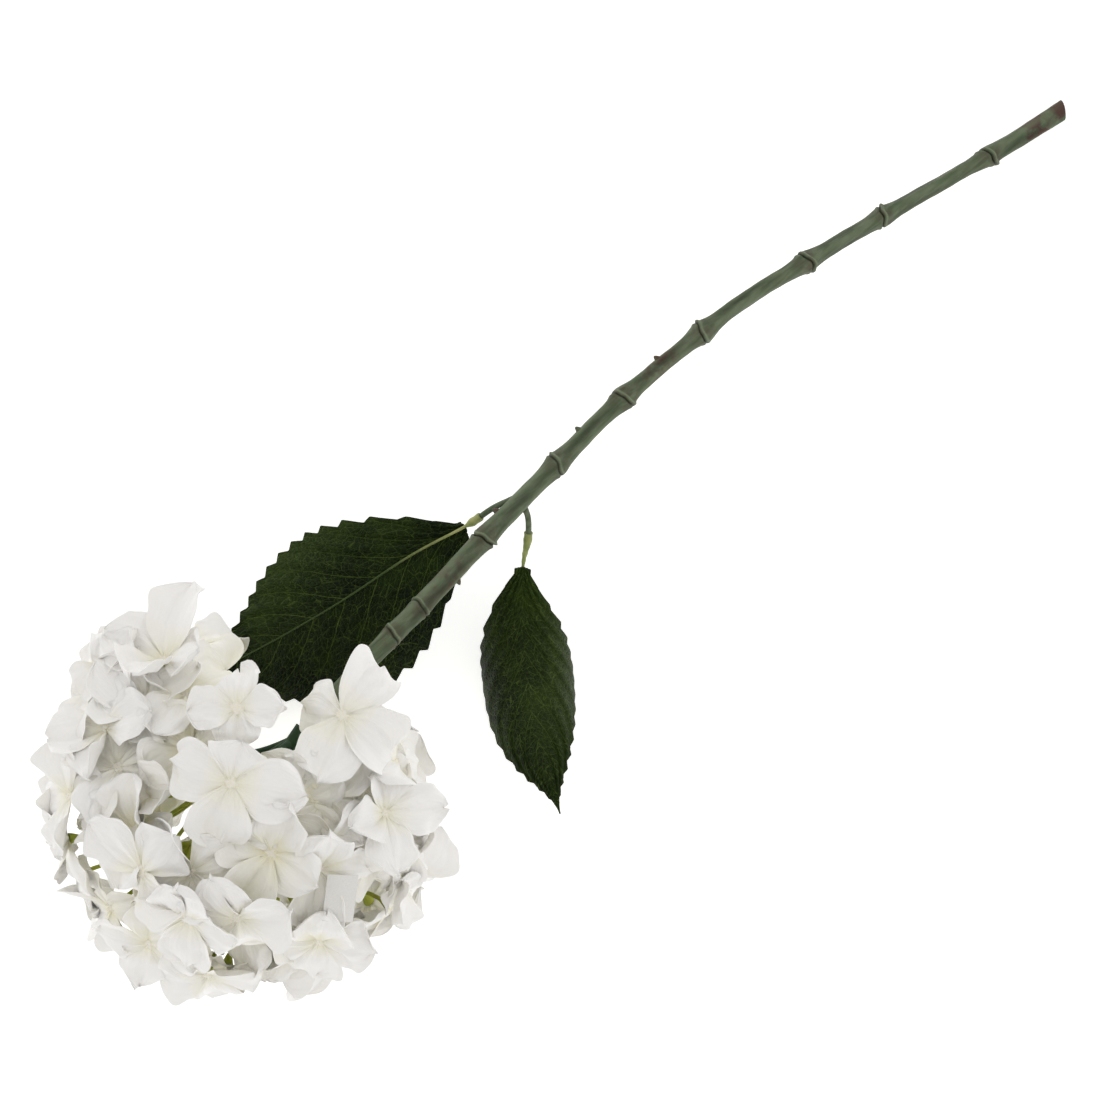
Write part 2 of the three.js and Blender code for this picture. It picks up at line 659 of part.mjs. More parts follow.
plant.add(meshNode('stem', stemBody(), LOOKS.stem));
plant.add(meshNode('branches', branchWhorl(), LOOKS.branches));
sprays.forEach((body, index) => {
  plant.add(meshNode(`pedicel_spray_${index + 1}`, largestPart(body), LOOKS.pedicel));
});
clusters.forEach((body, index) => {
  plant.add(meshNode(`florets_${index + 1}`, body, LOOKS.petal));
});
plant.add(meshNode('tag', tagBody(), LOOKS.tag));
plant.add(meshNode('leaf_rib_large', leafRib(LEAF_LARGE), LOOKS.rib));
plant.add(meshNode('leaf_blade_large', leafBlade(LEAF_LARGE), LOOKS.blade));
plant.add(meshNode('leaf_rib_small', leafRib(LEAF_SMALL), LOOKS.rib));
plant.add(meshNode('leaf_blade_small', leafBlade(LEAF_SMALL), LOOKS.blade));

const group = new THREE.Group();
group.add(plant);

export default group;
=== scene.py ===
# %% [markdown]
# # A cut hydrangea on a table
# The real thing is an artificial flower: white fabric florets on green plastic pedicels, two fabric leaves
# with moulded ribs, and a knobbly moulded stem. It lies on its side. The solids of every piece come with
# the frame, and each piece is remade here from the same few dimensions, with a finer surface.

# %% Load the frame
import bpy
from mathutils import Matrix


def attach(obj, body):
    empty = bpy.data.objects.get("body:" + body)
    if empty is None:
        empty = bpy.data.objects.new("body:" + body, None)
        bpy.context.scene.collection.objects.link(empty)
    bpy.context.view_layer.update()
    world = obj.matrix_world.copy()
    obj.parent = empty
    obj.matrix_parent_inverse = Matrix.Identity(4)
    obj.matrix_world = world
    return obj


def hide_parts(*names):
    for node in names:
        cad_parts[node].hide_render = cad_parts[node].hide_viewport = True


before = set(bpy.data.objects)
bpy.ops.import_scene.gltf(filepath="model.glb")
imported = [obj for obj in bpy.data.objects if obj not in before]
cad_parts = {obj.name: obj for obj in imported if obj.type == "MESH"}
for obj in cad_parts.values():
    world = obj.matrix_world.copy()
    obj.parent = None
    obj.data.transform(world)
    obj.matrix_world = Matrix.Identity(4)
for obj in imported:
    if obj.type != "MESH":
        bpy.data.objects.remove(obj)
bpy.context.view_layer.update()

# %% Libraries
import math

import bpy
import numpy as np
from mathutils import Vector

# %% [markdown]
# All sizes below are millimetres in the layout that the flower was measured in. One function turns them
# into metres in the frame, so that no piece carries its own scale or offset.

# %% Units and the layout's middle
MM = 0.001
MIDDLE = np.array([22.5, 1.6, 0.0])
GAP = 0.3
UP = np.array([0.0, 0.0, 1.0])


def to_frame(points):
    return (np.asarray(points, float) - MIDDLE) * MM


# %% [markdown]
# A cut flower can be measured from a photograph taken straight above it. The camera therefore hangs above
# the table and looks straight down, turned so that the stem runs to the upper right. It is far away with
# a long lens, so that the high petals aren't drawn much larger than the low ones.

# %% Camera
CAMERA_HEIGHT = 1660.0
LENS_MM = 121.8
SENSOR_MM = 36.0
STEM_TURN = math.radians(-40.1)

camera_data = bpy.data.cameras.new("camera")
camera_data.lens = LENS_MM
camera_data.sensor_width = SENSOR_MM
camera = bpy.data.objects.new("camera", camera_data)
camera.location = to_frame([0.0, 0.0, CAMERA_HEIGHT])
camera.rotation_euler = (0.0, 0.0, STEM_TURN)
bpy.context.collection.objects.link(camera)
bpy.context.scene.camera = camera
print("camera", [round(v, 3) for v in camera.location])

# %% [markdown]
# The flower was photographed on a white sheet. A plain white plane turns grey where little light falls, so
# this one glows a little by itself and stays as white as the sheet.

# %% Table
FLOOR_HALF = 2.0
FLOOR_DROP = 0.0002
FLOOR_LOOKS = {
    "Base Color": (0.93, 0.93, 0.93, 1.0), "Roughness": 0.9, "Specular IOR Level": 0.1,
    "Emission Color": (1.0, 1.0, 1.0, 1.0), "Emission Strength": 0.6,
}


def set_sockets(node, values):
    for socket, value in values.items():
        node.inputs[socket].default_value = value


def add_floor():
    signs = ((-1, -1), (1, -1), (1, 1), (-1, 1))
    corners = [(x * FLOOR_HALF, y * FLOOR_HALF, -FLOOR_DROP) for x, y in signs]
    mesh = bpy.data.meshes.new("table")
    mesh.from_pydata(corners, [], [(0, 1, 2, 3)])
    floor = bpy.data.objects.new("table", mesh)
    bpy.context.collection.objects.link(floor)
    material = bpy.data.materials.new("table_white")
    material.use_nodes = True
    set_sockets(material.node_tree.nodes["Principled BSDF"], FLOOR_LOOKS)
    mesh.materials.append(material)


add_floor()
print("table", 2 * FLOOR_HALF, "m wide")

# %% [markdown]
# White petals on a white table need light from all round, or the shadows between them go black. A bright
# pale world does most of it, and two large soft panels give the petals a light side and a shade side.

# %% Light
# Each panel's name, its place and width in metres, and its power in watts
PANELS = [("key_panel", (-0.7, 1.3, 1.6), 0.9, 1.8), ("fill_panel", (1.2, -1.3, 1.3), 1.4, 1.9)]
SKY_COLOR = (1.0, 0.99, 0.975, 1.0)
# The sky is slightly brighter above one height than below another
SKY_FADE = {"From Min": 0.55, "From Max": 0.95, "To Min": 0.77, "To Max": 0.79}


def add_panel(name, place, width, power):
    light = bpy.data.lights.new(name, "AREA")
    light.shape = "SQUARE"
    light.size = width
    light.energy = power
    panel = bpy.data.objects.new(name, light)
    panel.location = place
    panel.rotation_euler = (-Vector(place)).to_track_quat("-Z", "Y").to_euler()
    bpy.context.collection.objects.link(panel)


for panel in PANELS:
    add_panel(*panel)
world = bpy.data.worlds.new("studio")
bpy.context.scene.world = world
world.use_nodes = True
sky = world.node_tree
sky_way = sky.nodes.new("ShaderNodeTexCoord")
sky_height = sky.nodes.new("ShaderNodeSeparateXYZ")
sky_fade = sky.nodes.new("ShaderNodeMapRange")
set_sockets(sky_fade, SKY_FADE)
sky.links.new(sky_way.outputs["Generated"], sky_height.inputs["Vector"])
sky.links.new(sky_height.outputs["Z"], sky_fade.inputs["Value"])
sky.links.new(sky_fade.outputs["Result"], sky.nodes["Background"].inputs["Strength"])
set_sockets(sky.nodes["Background"], {"Color": SKY_COLOR})
bpy.context.scene.view_settings.view_transform = "Standard"
print("panels", [panel[0] for panel in PANELS])

# %% [markdown]
# Stem, branches, pedicels and ribs are all round rods of changing thickness. A curve object with a bevel
# could make them, but here the rings have to swell and slant at exact distances, so the rods are lofted
# ring by ring along a smooth curve through a few points.

# %% Curves
CURVE_STEPS = 600


def smooth_curve(points):
    """Dense points and their distances along a curve that passes through the given points."""
    points = np.asarray(points, float)
    ends = [2 * points[0] - points[1], *points, 2 * points[-1] - points[-2]]
    per_span = CURVE_STEPS // (len(points) - 1)
    dense = []
    for before, start, end, after in zip(ends, ends[1:], ends[2:], ends[3:]):
        for t in np.linspace(0, 1, per_span, endpoint=False):
            leave = (end - before) / 2
            arrive = (after - start) / 2
            dense.append(
                (2 * t**3 - 3 * t**2 + 1) * start + (t**3 - 2 * t**2 + t) * leave
                + (3 * t**2 - 2 * t**3) * end + (t**3 - t**2) * arrive
            )
    return measured(np.array([*dense, points[-1]]))


def bezier_curve(a, b, c, d):
    t = np.linspace(0, 1, 60)[:, None]
    return measured((1 - t)**3 * a + 3 * t * (1 - t)**2 * b + 3 * t**2 * (1 - t) * c + t**3 * d)


def measured(dense):
    steps = np.linalg.norm(np.diff(dense, axis=0), axis=1)
    return dense, np.concatenate([[0.0], np.cumsum(steps)])


def curve_at(curve, distances):
    dense, along = curve
    return np.stack([np.interp(distances, along, dense[:, k]) for k in range(3)], axis=-1)


def unit(v):
    return v / np.linalg.norm(v, axis=-1, keepdims=True)


def tangents_at(curve, distances, reach=0.5):
    length = curve[1][-1]
    ahead = curve_at(curve, np.minimum(distances + reach, length))
    behind = curve_at(curve, np.maximum(distances - reach, 0.0))
    return unit(ahead - behind)


# %% [markdown]
# Every mesh here is a closed body: a rod has end caps, and a petal or leaf is a sheet with two faces and
# a rim. Closed bodies shade properly from both sides and can be measured like real things.

# %% Closed meshes
def rod_mesh(curve, distances, radii, sides, slant=0.0):
    """Points and faces of a rod; radii has one number, or a row round the rod, for each distance."""
    centres = curve_at(curve, distances)
    tangents = tangents_at(curve, distances)
    least = int(np.argmin(np.abs(tangents[0])))
    normal = unit(np.cross(tangents[0], np.cross(tangents[0], np.eye(3)[least])))
    angles = np.linspace(0, 2 * np.pi, sides, endpoint=False)
    points = []
    for row, (centre, tangent, radius) in enumerate(zip(centres, tangents, radii)):
        normal = unit(normal - tangent * normal.dot(tangent))
        side = np.cross(tangent, normal)
        reach = (radius * np.ones(sides))[:, None]
        ring = centre + reach * (np.cos(angles)[:, None] * normal + np.sin(angles)[:, None] * side)
        if row == 0 and slant:
            ring = ring + reach * np.cos(angles)[:, None] * slant * tangent
        points.append(ring)
    faces = []
    for row in range(len(points) - 1):
        for k in range(sides):
            a = row * sides + k
            b = row * sides + (k + 1) % sides
            faces.append((a, b, b + sides, a + sides))
    last = (len(points) - 1) * sides
    faces.append(tuple(range(sides))[::-1])
    faces.append(tuple(range(last, last + sides)))
    return np.concatenate(points), faces


def straight_rod(start, end, radii, sides):
    """A straight rod with a ring for each radius, evenly spaced."""
    curve = measured(np.linspace(start, end, len(radii)))
    return rod_mesh(curve, curve[1], radii, sides)


def thick_sheet(grid, thickness):
    """Points and faces of a sheet of even thickness round a grid of points (rows, columns, 3)."""
    rows, columns = grid.shape[:2]
    along = np.gradient(grid, axis=0)
    across = np.gradient(grid, axis=1)
    normals = unit(np.cross(along, across))
    upper = (grid + normals * thickness / 2).reshape(-1, 3)
    lower = (grid - normals * thickness / 2).reshape(-1, 3)
    under = rows * columns
    faces = []
    for i in range(rows - 1):
        for j in range(columns - 1):
            a = i * columns + j
            quad = (a, a + columns, a + columns + 1, a + 1)
            faces += [quad, tuple(k + under for k in reversed(quad))]
    rim = list(range(columns))
    rim += [i * columns + columns - 1 for i in range(1, rows)]
    rim += [(rows - 1) * columns + j for j in range(columns - 2, -1, -1)]
    rim += [i * columns for i in range(rows - 2, 0, -1)]
    for a, b in zip(rim, rim[1:] + rim[:1]):
        faces.append((a, b, b + under, a + under))
    return np.concatenate([upper, lower]), faces


# %% Joining meshes and making objects
CRISP = math.radians(48)


def joined(meshes):
    """One mesh of several; a mesh is a pair of points and faces."""
    points = []
    faces = []
    for own_points, own_faces in meshes:
        start = sum(len(p) for p in points)
        points.append(own_points)
        faces += [tuple(start + k for k in face) for face in own_faces]
    return np.concatenate(points), faces


def add_piece(name, shape, material, nodes, values=None):
    """A smooth object with crisp rims that stands for the named solids; values are kept at its points."""
    points, faces = shape
    mesh = bpy.data.meshes.new(name)
    mesh.from_pydata(to_frame(points).tolist(), [], faces)
    mesh.polygons.foreach_set("use_smooth", [True] * len(mesh.polygons))
    mesh.set_sharp_from_angle(angle=CRISP)
    for key, numbers in (values or {}).items():
        attribute = mesh.attributes.new(key, "FLOAT", "POINT")
        attribute.data.foreach_set("value", np.asarray(numbers, np.float32))
    mesh.materials.append(material)
    piece = bpy.data.objects.new(name, mesh)
    bpy.context.collection.objects.link(piece)
    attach(piece, "root")
    if nodes:
        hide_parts(*nodes)
    print(name, len(mesh.vertices), "points", len(faces), "faces")


# %% [markdown]
# Most finishes here mix two colours by a pattern: a number kept at the mesh's points, a noise, or both.
# Small helpers for those nodes keep each material short enough to read as a recipe.

# %% Material helpers
class Finish:
    """A material under construction: a Principled shader and short calls for the nodes that feed it."""

    def __init__(self, name, roughness, shine=0.25):
        self.material = bpy.data.materials.new(name)
        self.material.use_nodes = True
        self.tree = self.material.node_tree
        self.shader = self.tree.nodes["Principled BSDF"]
        set_sockets(self.shader, {"Roughness": roughness, "Specular IOR Level": shine})

    def node(self, kind, **inputs):
        node = self.tree.nodes.new(kind)
        for key, value in inputs.items():
            self.feed(value, node.inputs[key.replace("_", " ")])
        return node

    def feed(self, value, socket):
        if isinstance(value, bpy.types.NodeSocket):
            self.tree.links.new(value, socket)
        else:
            socket.default_value = value

    def kept(self, key):
        node = self.tree.nodes.new("ShaderNodeAttribute")
        node.attribute_name = key
        return node.outputs["Fac"]

    def place(self, stretch=(1.0, 1.0, 1.0)):
        coordinates = self.tree.nodes.new("ShaderNodeTexCoord").outputs["Object"]
        return self.node("ShaderNodeMapping", Vector=coordinates, Scale=stretch).outputs["Vector"]

    def noise(self, vector, scale, detail=3.0):
        return self.node("ShaderNodeTexNoise", Vector=vector, Scale=scale, Detail=detail).outputs["Fac"]

    def cells(self, vector, scale):
        """How far a point is from the lines of a net of cells."""
        node = self.node("ShaderNodeTexVoronoi", Vector=vector, Scale=scale)
        node.feature = "DISTANCE_TO_EDGE"
        return node.outputs["Distance"]

    def steps(self, factor, low, high):
        node = self.node("ShaderNodeMapRange", Value=factor)
        node.inputs["From Min"].default_value = low
        node.inputs["From Max"].default_value = high
        return node.outputs["Result"]

    def math(self, operation, a, b):
        node = self.tree.nodes.new("ShaderNodeMath")
        node.operation = operation
        self.feed(a, node.inputs[0])
        self.feed(b, node.inputs[1])
        return node.outputs["Value"]

    def mix(self, factor, a, b):
        node = self.tree.nodes.new("ShaderNodeMix")
        node.data_type = "RGBA"
        self.feed(factor, node.inputs[0])
        self.feed(a if isinstance(a, bpy.types.NodeSocket) else (*a, 1.0), node.inputs[6])
        self.feed(b if isinstance(b, bpy.types.NodeSocket) else (*b, 1.0), node.inputs[7])
        return node.outputs[2]

    def bump(self, height, distance, strength=1.0):
        node = self.node("ShaderNodeBump", Height=height, Distance=distance, Strength=strength)
        self.tree.links.new(node.outputs["Normal"], self.shader.inputs["Normal"])

    def color(self, socket):
        self.tree.links.new(socket, self.shader.inputs["Base Color"])


# %% [markdown]
# ## The stem
# The real stem is one plastic moulding with a wire inside. It copies a woody shoot: a ringed joint where
# each pair of leaves once sat, faint ridges between the joints, a few dormant buds, and a thick end where
# the shears cut it. Its radius is a profile along its length, as on a turned rod, but each lip is aslant.

# %% Stem dimensions
STEM_PATH = [
    (300.3, 3, 4.4), (260.6, 8.5, 13), (206.1, 18, 23), (166.3, 24.2, 31), (137.8, 28.2, 37),
    (110.7, 29.6, 42), (65.6, 29.6, 51), (25.5, 26.3, 58), (-16.5, 22.3, 66), (-59, 17.3, 73),
    (-87, 14.3, 76), (-128, 8.8, 78),
]
# Distance from the cut end and radius there
GIRTH = [(0, 4.4), (35, 3.9), (52, 3.3), (190, 3.5), (282, 3.8), (345, 4.4), (450, 4.2)]
CUT_SLANT = 0.35
# Distance from the cut end, swelling, height of the lip, and the side that the lip stands out on
STEM_JOINTS = [
    (41, 0.9, 0.9, 0.4), (96.7, 1.3, 0.8, 3.4), (137.6, 1.6, 0.8, 0.9), (194.2, 1.9, 0.7, 3.9),
    (240.4, 1.7, 0.6, 0.2), (281.7, 1.5, 0.5, 3.0), (326.4, 0.9, 0.9, 5.6), (367.7, 0.4, 0.5, 1.6),
    (384.2, 0.3, 0.5, 2.4),
]

stem_curve = smooth_curve(STEM_PATH)
stem_length = stem_curve[1][-1]
print("stem length", round(stem_length, 1), "mm")

# %% The joints' shape
SWELLING_REACH = 7.5
SWELLING_SHAPE = 1.6
LIP_SLANT = 1.5
LIP_WANDER = 0.35
LIP_MEAN = 0.8
LIP_LEAN = 0.6
# Where each band lies, from the joint's slanting line, and how far it reaches to each side
LIP_BAND = (-0.3, 0.6)
LOW_LIP_BAND = (2.2, 0.7)
GROOVE_BAND = (1.0, 0.35)
LOW_LIP = 0.45
GROOVE = 0.8


def hump(distance, band, power=2):
    """A smooth hump, 1 high; a band is where its top lies and how far it reaches to each side."""
    top, reach = band
    return np.exp(-((distance - top) / reach)**power)


def from_lip(from_joint, side_angle, lip_side):
    """The distance from a joint's lip, which runs aslant and a little unevenly round the stem."""
    uneven = np.sin(3 * side_angle + 5 * lip_side) + 0.6 * np.sin(5 * side_angle + 2 * lip_side)
    return from_joint + LIP_SLANT * np.cos(side_angle - lip_side) + LIP_WANDER * uneven


def joint_shape(from_joint, side_angle, swelling, lip, lip_side):
    """How far the stem stands out near a joint: a soft swelling with two slanting lips and a groove."""
    slanted = from_lip(from_joint, side_angle, lip_side)
    bulge = swelling * np.exp(-np.abs(from_joint / SWELLING_REACH)**SWELLING_SHAPE * SWELLING_SHAPE)
    edge = lip * (LIP_MEAN + LIP_LEAN * np.cos(side_angle - lip_side)) * hump(slanted, LIP_BAND)
    low_edge = LOW_LIP * lip * hump(slanted, LOW_LIP_BAND)
    return bulge + edge + low_edge - GROOVE * lip * hump(slanted, GROOVE_BAND)


# %% The stem's radius all round
RIDGE = 0.05
RIDGE_COUNT = 3
RIDGE_TOP = 0.4
RIDGE_TWIST = 60
CHANNEL = 0.09
CHANNEL_AHEAD = 20
CHANNEL_REACH = 14
# Height of each slow wobble, its pace along the stem and its turns round it
WOBBLES = [(0.07, 0.31, 1), (0.03, 0.83, 2)]


def channels(at, around):
    """Lengthways channels, deepest on the cut end's side of each joint: -1 in a channel, 1 between two."""
    beside_joint = sum(hump(at, (joint[0] - CHANNEL_AHEAD, CHANNEL_REACH)) for joint in STEM_JOINTS)
    return np.cos(RIDGE_COUNT * around + at / RIDGE_TWIST), np.minimum(beside_joint, 1)


def stem_radii(at, around):
    ridge, depth = channels(at, around)
    girth = np.interp(at, *np.array(GIRTH).T)
    radii = girth * (1 + (RIDGE + CHANNEL * depth) * np.minimum(ridge, RIDGE_TOP))
    for joint, swelling, lip, lip_side in STEM_JOINTS:
        radii = radii + joint_shape(at - joint, around, swelling, lip, lip_side)
    for height, pace, turns in WOBBLES:
        radii = radii + height * np.sin(at * pace + turns * around)
    return radii


# %% The stem's rows
STEM_SIDES = 40
FIRST_ROW = 2.4
ROW_STEP = 0.8
CLOSE_REACH = 4.5
CLOSE_STEP = 0.2


def stem_rows():
    """Distances along the stem, closer together at the joints."""
    usual = np.concatenate([[0], np.arange(FIRST_ROW, stem_length, ROW_STEP)])
    close = [np.arange(joint[0] - CLOSE_REACH, joint[0] + CLOSE_REACH, CLOSE_STEP) for joint in STEM_JOINTS]
    return np.unique(np.round(np.concatenate([usual] + close), 2))


at = stem_rows()
around = np.linspace(0, 2 * np.pi, STEM_SIDES, endpoint=False)
radii = stem_radii(at[:, None], around[None, :])
stem_mesh = rod_mesh(stem_curve, at, radii, STEM_SIDES, CUT_SLANT)
print(len(at), "rows of stem, thickest", round(2 * float(radii.max()), 1), "mm")

# %% [markdown]
# A leaf sits on a stub of the stem: the stub and the stem are one moulding, and the leaf's sleeve pushes
# over the stub. The line of stub, sleeve and rib is one curve, so that the three always stay in line.

# %% Stubs and leaf lines
STUB_ROOT = 1.8
STUB_RADIUS = 1.3
STUB_FLARE = 0.3
SLEEVE_RADIUS = 2.05
SOCKET_DEPTH = 5.0
LEAVES = {
    "large": {
        "line": [
            (7, 25.4, 62), (-6.2, 29.4, 59), (-21.1, 31.3, 53.5), (-48.1, 37.1, 48.5),
            (-84.6, 41.6, 37), (-115.3, 47.1, 23), (-136, 51.5, 12), (-156, 54.5, 5),
        ],
        "stalk": 27.0, "sleeve": 8.0, "half_width": 39.0, "lopsided": 0.1, "base_width": 3.0, "taper": 0.82,
        "sharpness": 0.5, "bend": 75.0, "roll": math.radians(4), "tooth": 1.6, "rib_side": 1,
    },
    "small": {
        "line": [
            (3.6, 24.8, 62), (2.2, 17.6, 61), (-3.9, 10.1, 55.5), (-13.4, 2.2, 49), (-27.4, -13.2, 44),
            (-43, -35.7, 33.5), (-58, -60.1, 18.5), (-72.1, -92.5, 1.6),
        ],
        "stalk": 21.0, "sleeve": 16.0, "half_width": 28.5, "lopsided": 0.0, "base_width": 3.5, "taper": 0.9,
        "sharpness": 0.9, "bend": 20.2, "roll": 0.0, "tooth": 1.2, "rib_side": -1,
    },
}


def stub_mesh(leaf):
    length = leaf["stalk"]
    distances = np.linspace(0, length, 24)
    radii = np.interp(distances, [0, length * STUB_FLARE, length], [STUB_ROOT, STUB_RADIUS, STUB_RADIUS])
    return rod_mesh(leaf["curve"], distances, radii, 16)


for leaf in LEAVES.values():
    leaf["curve"] = smooth_curve(leaf["line"])
    leaf["length"] = leaf["curve"][1][-1]
    leaf["start"] = leaf["stalk"] - SOCKET_DEPTH + leaf["sleeve"]
stubs = [stub_mesh(leaf) for leaf in LEAVES.values()]
print("stubs", [leaf["stalk"] for leaf in LEAVES.values()], "mm long")

# %% [markdown]
# A dormant bud is a small blunt thorn. It is a short rod whose radius shrinks and rounds off at the tip.

# %% Buds
# Each bud's root, inside the stem, and its tip
BUDS = [
    ((89.9, 30, 46.2), (88.5, 35.2, 47.5)), ((43.4, 28, 54.9), (42.5, 33.5, 56)),
    ((-5.5, 23.4, 64), (-7.5, 29.4, 65)), ((-37.5, 19.8, 69.5), (-39, 13.4, 70.5)),
]
BUD_ROOT = 2.6
BUD_TIP = 1.1
BUD_ROWS = 9
BUD_ROUNDING = 0.97


def bud_mesh(root, tip):
    rounded = np.sqrt(1 - np.linspace(0, BUD_ROUNDING, BUD_ROWS)**4)
    return straight_rod(root, tip, np.linspace(BUD_ROOT, BUD_TIP, BUD_ROWS) * rounded, 16)


buds = [bud_mesh(*bud) for bud in BUDS]
print(len(buds), "buds")

# %% [markdown]
# The stem's plastic is a dull grey-green, dusted with brown along its length and red-brown where the real
# shoot would be bruised: by the cut and in the middle. The colour streaks run lengthways, because the
# paint was wiped along the stem. Low bumps and fine scratches keep the highlight from looking like glass.
# The joints' grooves and the channels have painted shade, and the lips and ridges a painted highlight.

# %% Stem finish
STEM_GREEN = (0.066, 0.100, 0.050)
STEM_PALE = (0.140, 0.175, 0.105)
# A painted highlight for the joints' lips and the ridges
STEM_PAINTED_HIGHLIGHT = (0.19, 0.235, 0.145)
STEM_BROWN = (0.08, 0.042, 0.032)
# Painted shade for the joints' grooves and the channels
STEM_PAINTED_SHADE = (0.018, 0.02, 0.009)
STREAKS = (60.0, 400.0, 400.0)
SCRATCHES = (150.0, 700.0, 700.0)


def stem_finish():
    finish = Finish("moulded_stem", 0.6)
    streaks = finish.noise(finish.place(STREAKS), 1.0, 4.0)
    green = finish.mix(finish.steps(streaks, 0.35, 0.65), STEM_GREEN, STEM_PALE)
    speckle = finish.noise(finish.place(), 260.0, 5.0)
    bruised = finish.math("MULTIPLY", finish.kept("bruise"), finish.steps(speckle, 0.35, 0.6))
    painted = finish.mix(bruised, green, STEM_BROWN)
    # A highlight is painted on the lips and ridges, and shade is painted in the grooves and channels
    painted = finish.mix(finish.kept("painted_highlight"), painted, STEM_PAINTED_HIGHLIGHT)
    finish.color(finish.mix(finish.kept("painted_shade"), painted, STEM_PAINTED_SHADE))
    finish.bump(finish.noise(finish.place(SCRATCHES), 1.0, 4.0), 0.0005, 0.6)
    return finish.material


# %% Where the paint is brown, and where shade and a highlight are painted
# How brown each bruise is, its band along the stem and how sharply it ends
BRUISES = [(1.8, (0.0, 5.0), 2), (1.8, (17.0, 6.0), 4), (0.9, (219.0, 9.0), 2), (0.6, (350.0, 10.0), 2)]
JOINT_BRUISE = 0.4
JOINT_BRUISE_REACH = 5.0
LEAST_BRUISE = 0.15
MOST_BRUISE = 1.8
STUB_BRUISE = 0.1
BUD_BRUISE = 0.9
# Bands and strengths of the painted shade in grooves and channels and of the painted highlight on lips and
# ridges
PAINTED_SHADE_BAND = (1.0, 0.45)
CHANNEL_PAINTED_SHADE = 0.55
PAINTED_HIGHLIGHT_BAND = (-0.4, 0.5)
LIP_PAINTED_HIGHLIGHT = 0.9
RIDGE_PAINTED_HIGHLIGHT = 0.5


def bruise_along(distances):
    """How brown the stem is at a distance from its cut end."""
    brown = sum(depth * hump(distances, band, power) for depth, band, power in BRUISES)
    beside = sum(JOINT_BRUISE * hump(distances, (joint[0], JOINT_BRUISE_REACH)) for joint in STEM_JOINTS)
    return np.clip(brown + beside + LEAST_BRUISE, 0, MOST_BRUISE)


def stem_painted_light(at, around):
    """Where shade is painted, in grooves and channels, and where a highlight is painted, on the lips and
    ridges.
    """
    ridge, depth = channels(at, around)
    painted_shade = CHANNEL_PAINTED_SHADE * depth * np.clip(-ridge, 0, 1)
    painted_highlight = RIDGE_PAINTED_HIGHLIGHT * depth * np.clip(ridge, 0, 1)
    for joint, _, _, lip_side in STEM_JOINTS:
        slanted = from_lip(at - joint, around, lip_side)
        painted_shade = np.maximum(painted_shade, hump(slanted, PAINTED_SHADE_BAND))
        painted_highlight = np.maximum(painted_highlight, LIP_PAINTED_HIGHLIGHT * hump(slanted, PAINTED_HIGHLIGHT_BAND))
    return painted_shade, painted_highlight


# %% Build the stem
stem_painted_shade, stem_painted_highlight = stem_painted_light(at[:, None], around[None, :])
on_stubs = np.full(sum(len(mesh[0]) for mesh in stubs), STUB_BRUISE)
on_buds = np.full(sum(len(mesh[0]) for mesh in buds), BUD_BRUISE)
plain = np.zeros(len(on_stubs) + len(on_buds))
# The brown is the paint's own colour; the other two are painted shade and a painted highlight
marks = {
    "bruise": np.concatenate([np.repeat(bruise_along(at), STEM_SIDES), on_stubs, on_buds]),
    "painted_shade": np.concatenate([stem_painted_shade.reshape(-1), plain]),
    "painted_highlight": np.concatenate([stem_painted_highlight.reshape(-1), plain]),
}
add_piece("moulded_stem", joined([stem_mesh] + stubs + buds), stem_finish(), ["stem"], marks)

# %% [markdown]
# ## The head
# Forty-six florets stand on pedicels round a small whorl of branches. Those that the photograph shows are
# listed, each by its middle and by the bearing and rise that it faces. The rest fill the largest bare
# patches one by one, which is how a full mophead looks: no floret on top of another and no large holes.

# %% Head dimensions
HEAD_CENTRE = np.array([-167.4, 2.2, 76.5])
STEM_SIDE = unit(np.array([1.0, 0.12, -0.04]))
LEAF_SIDES = [unit(np.array([0.55, 0.42, -0.72])), unit(np.array([0.8, 0.6, 0.02]))]
CLEAR_ANGLE = math.radians(27)
FLORET_COUNT = 46
PETAL_LENGTH = 26.0
PETAL_WIDTH = 24.5
OPENING = 20.0
OPENING_SPREAD = 10.0
OUT = 70.0
OUT_SPREAD = 8.0
LEAN = math.radians(24)
LOWEST_CENTRE = 10.0
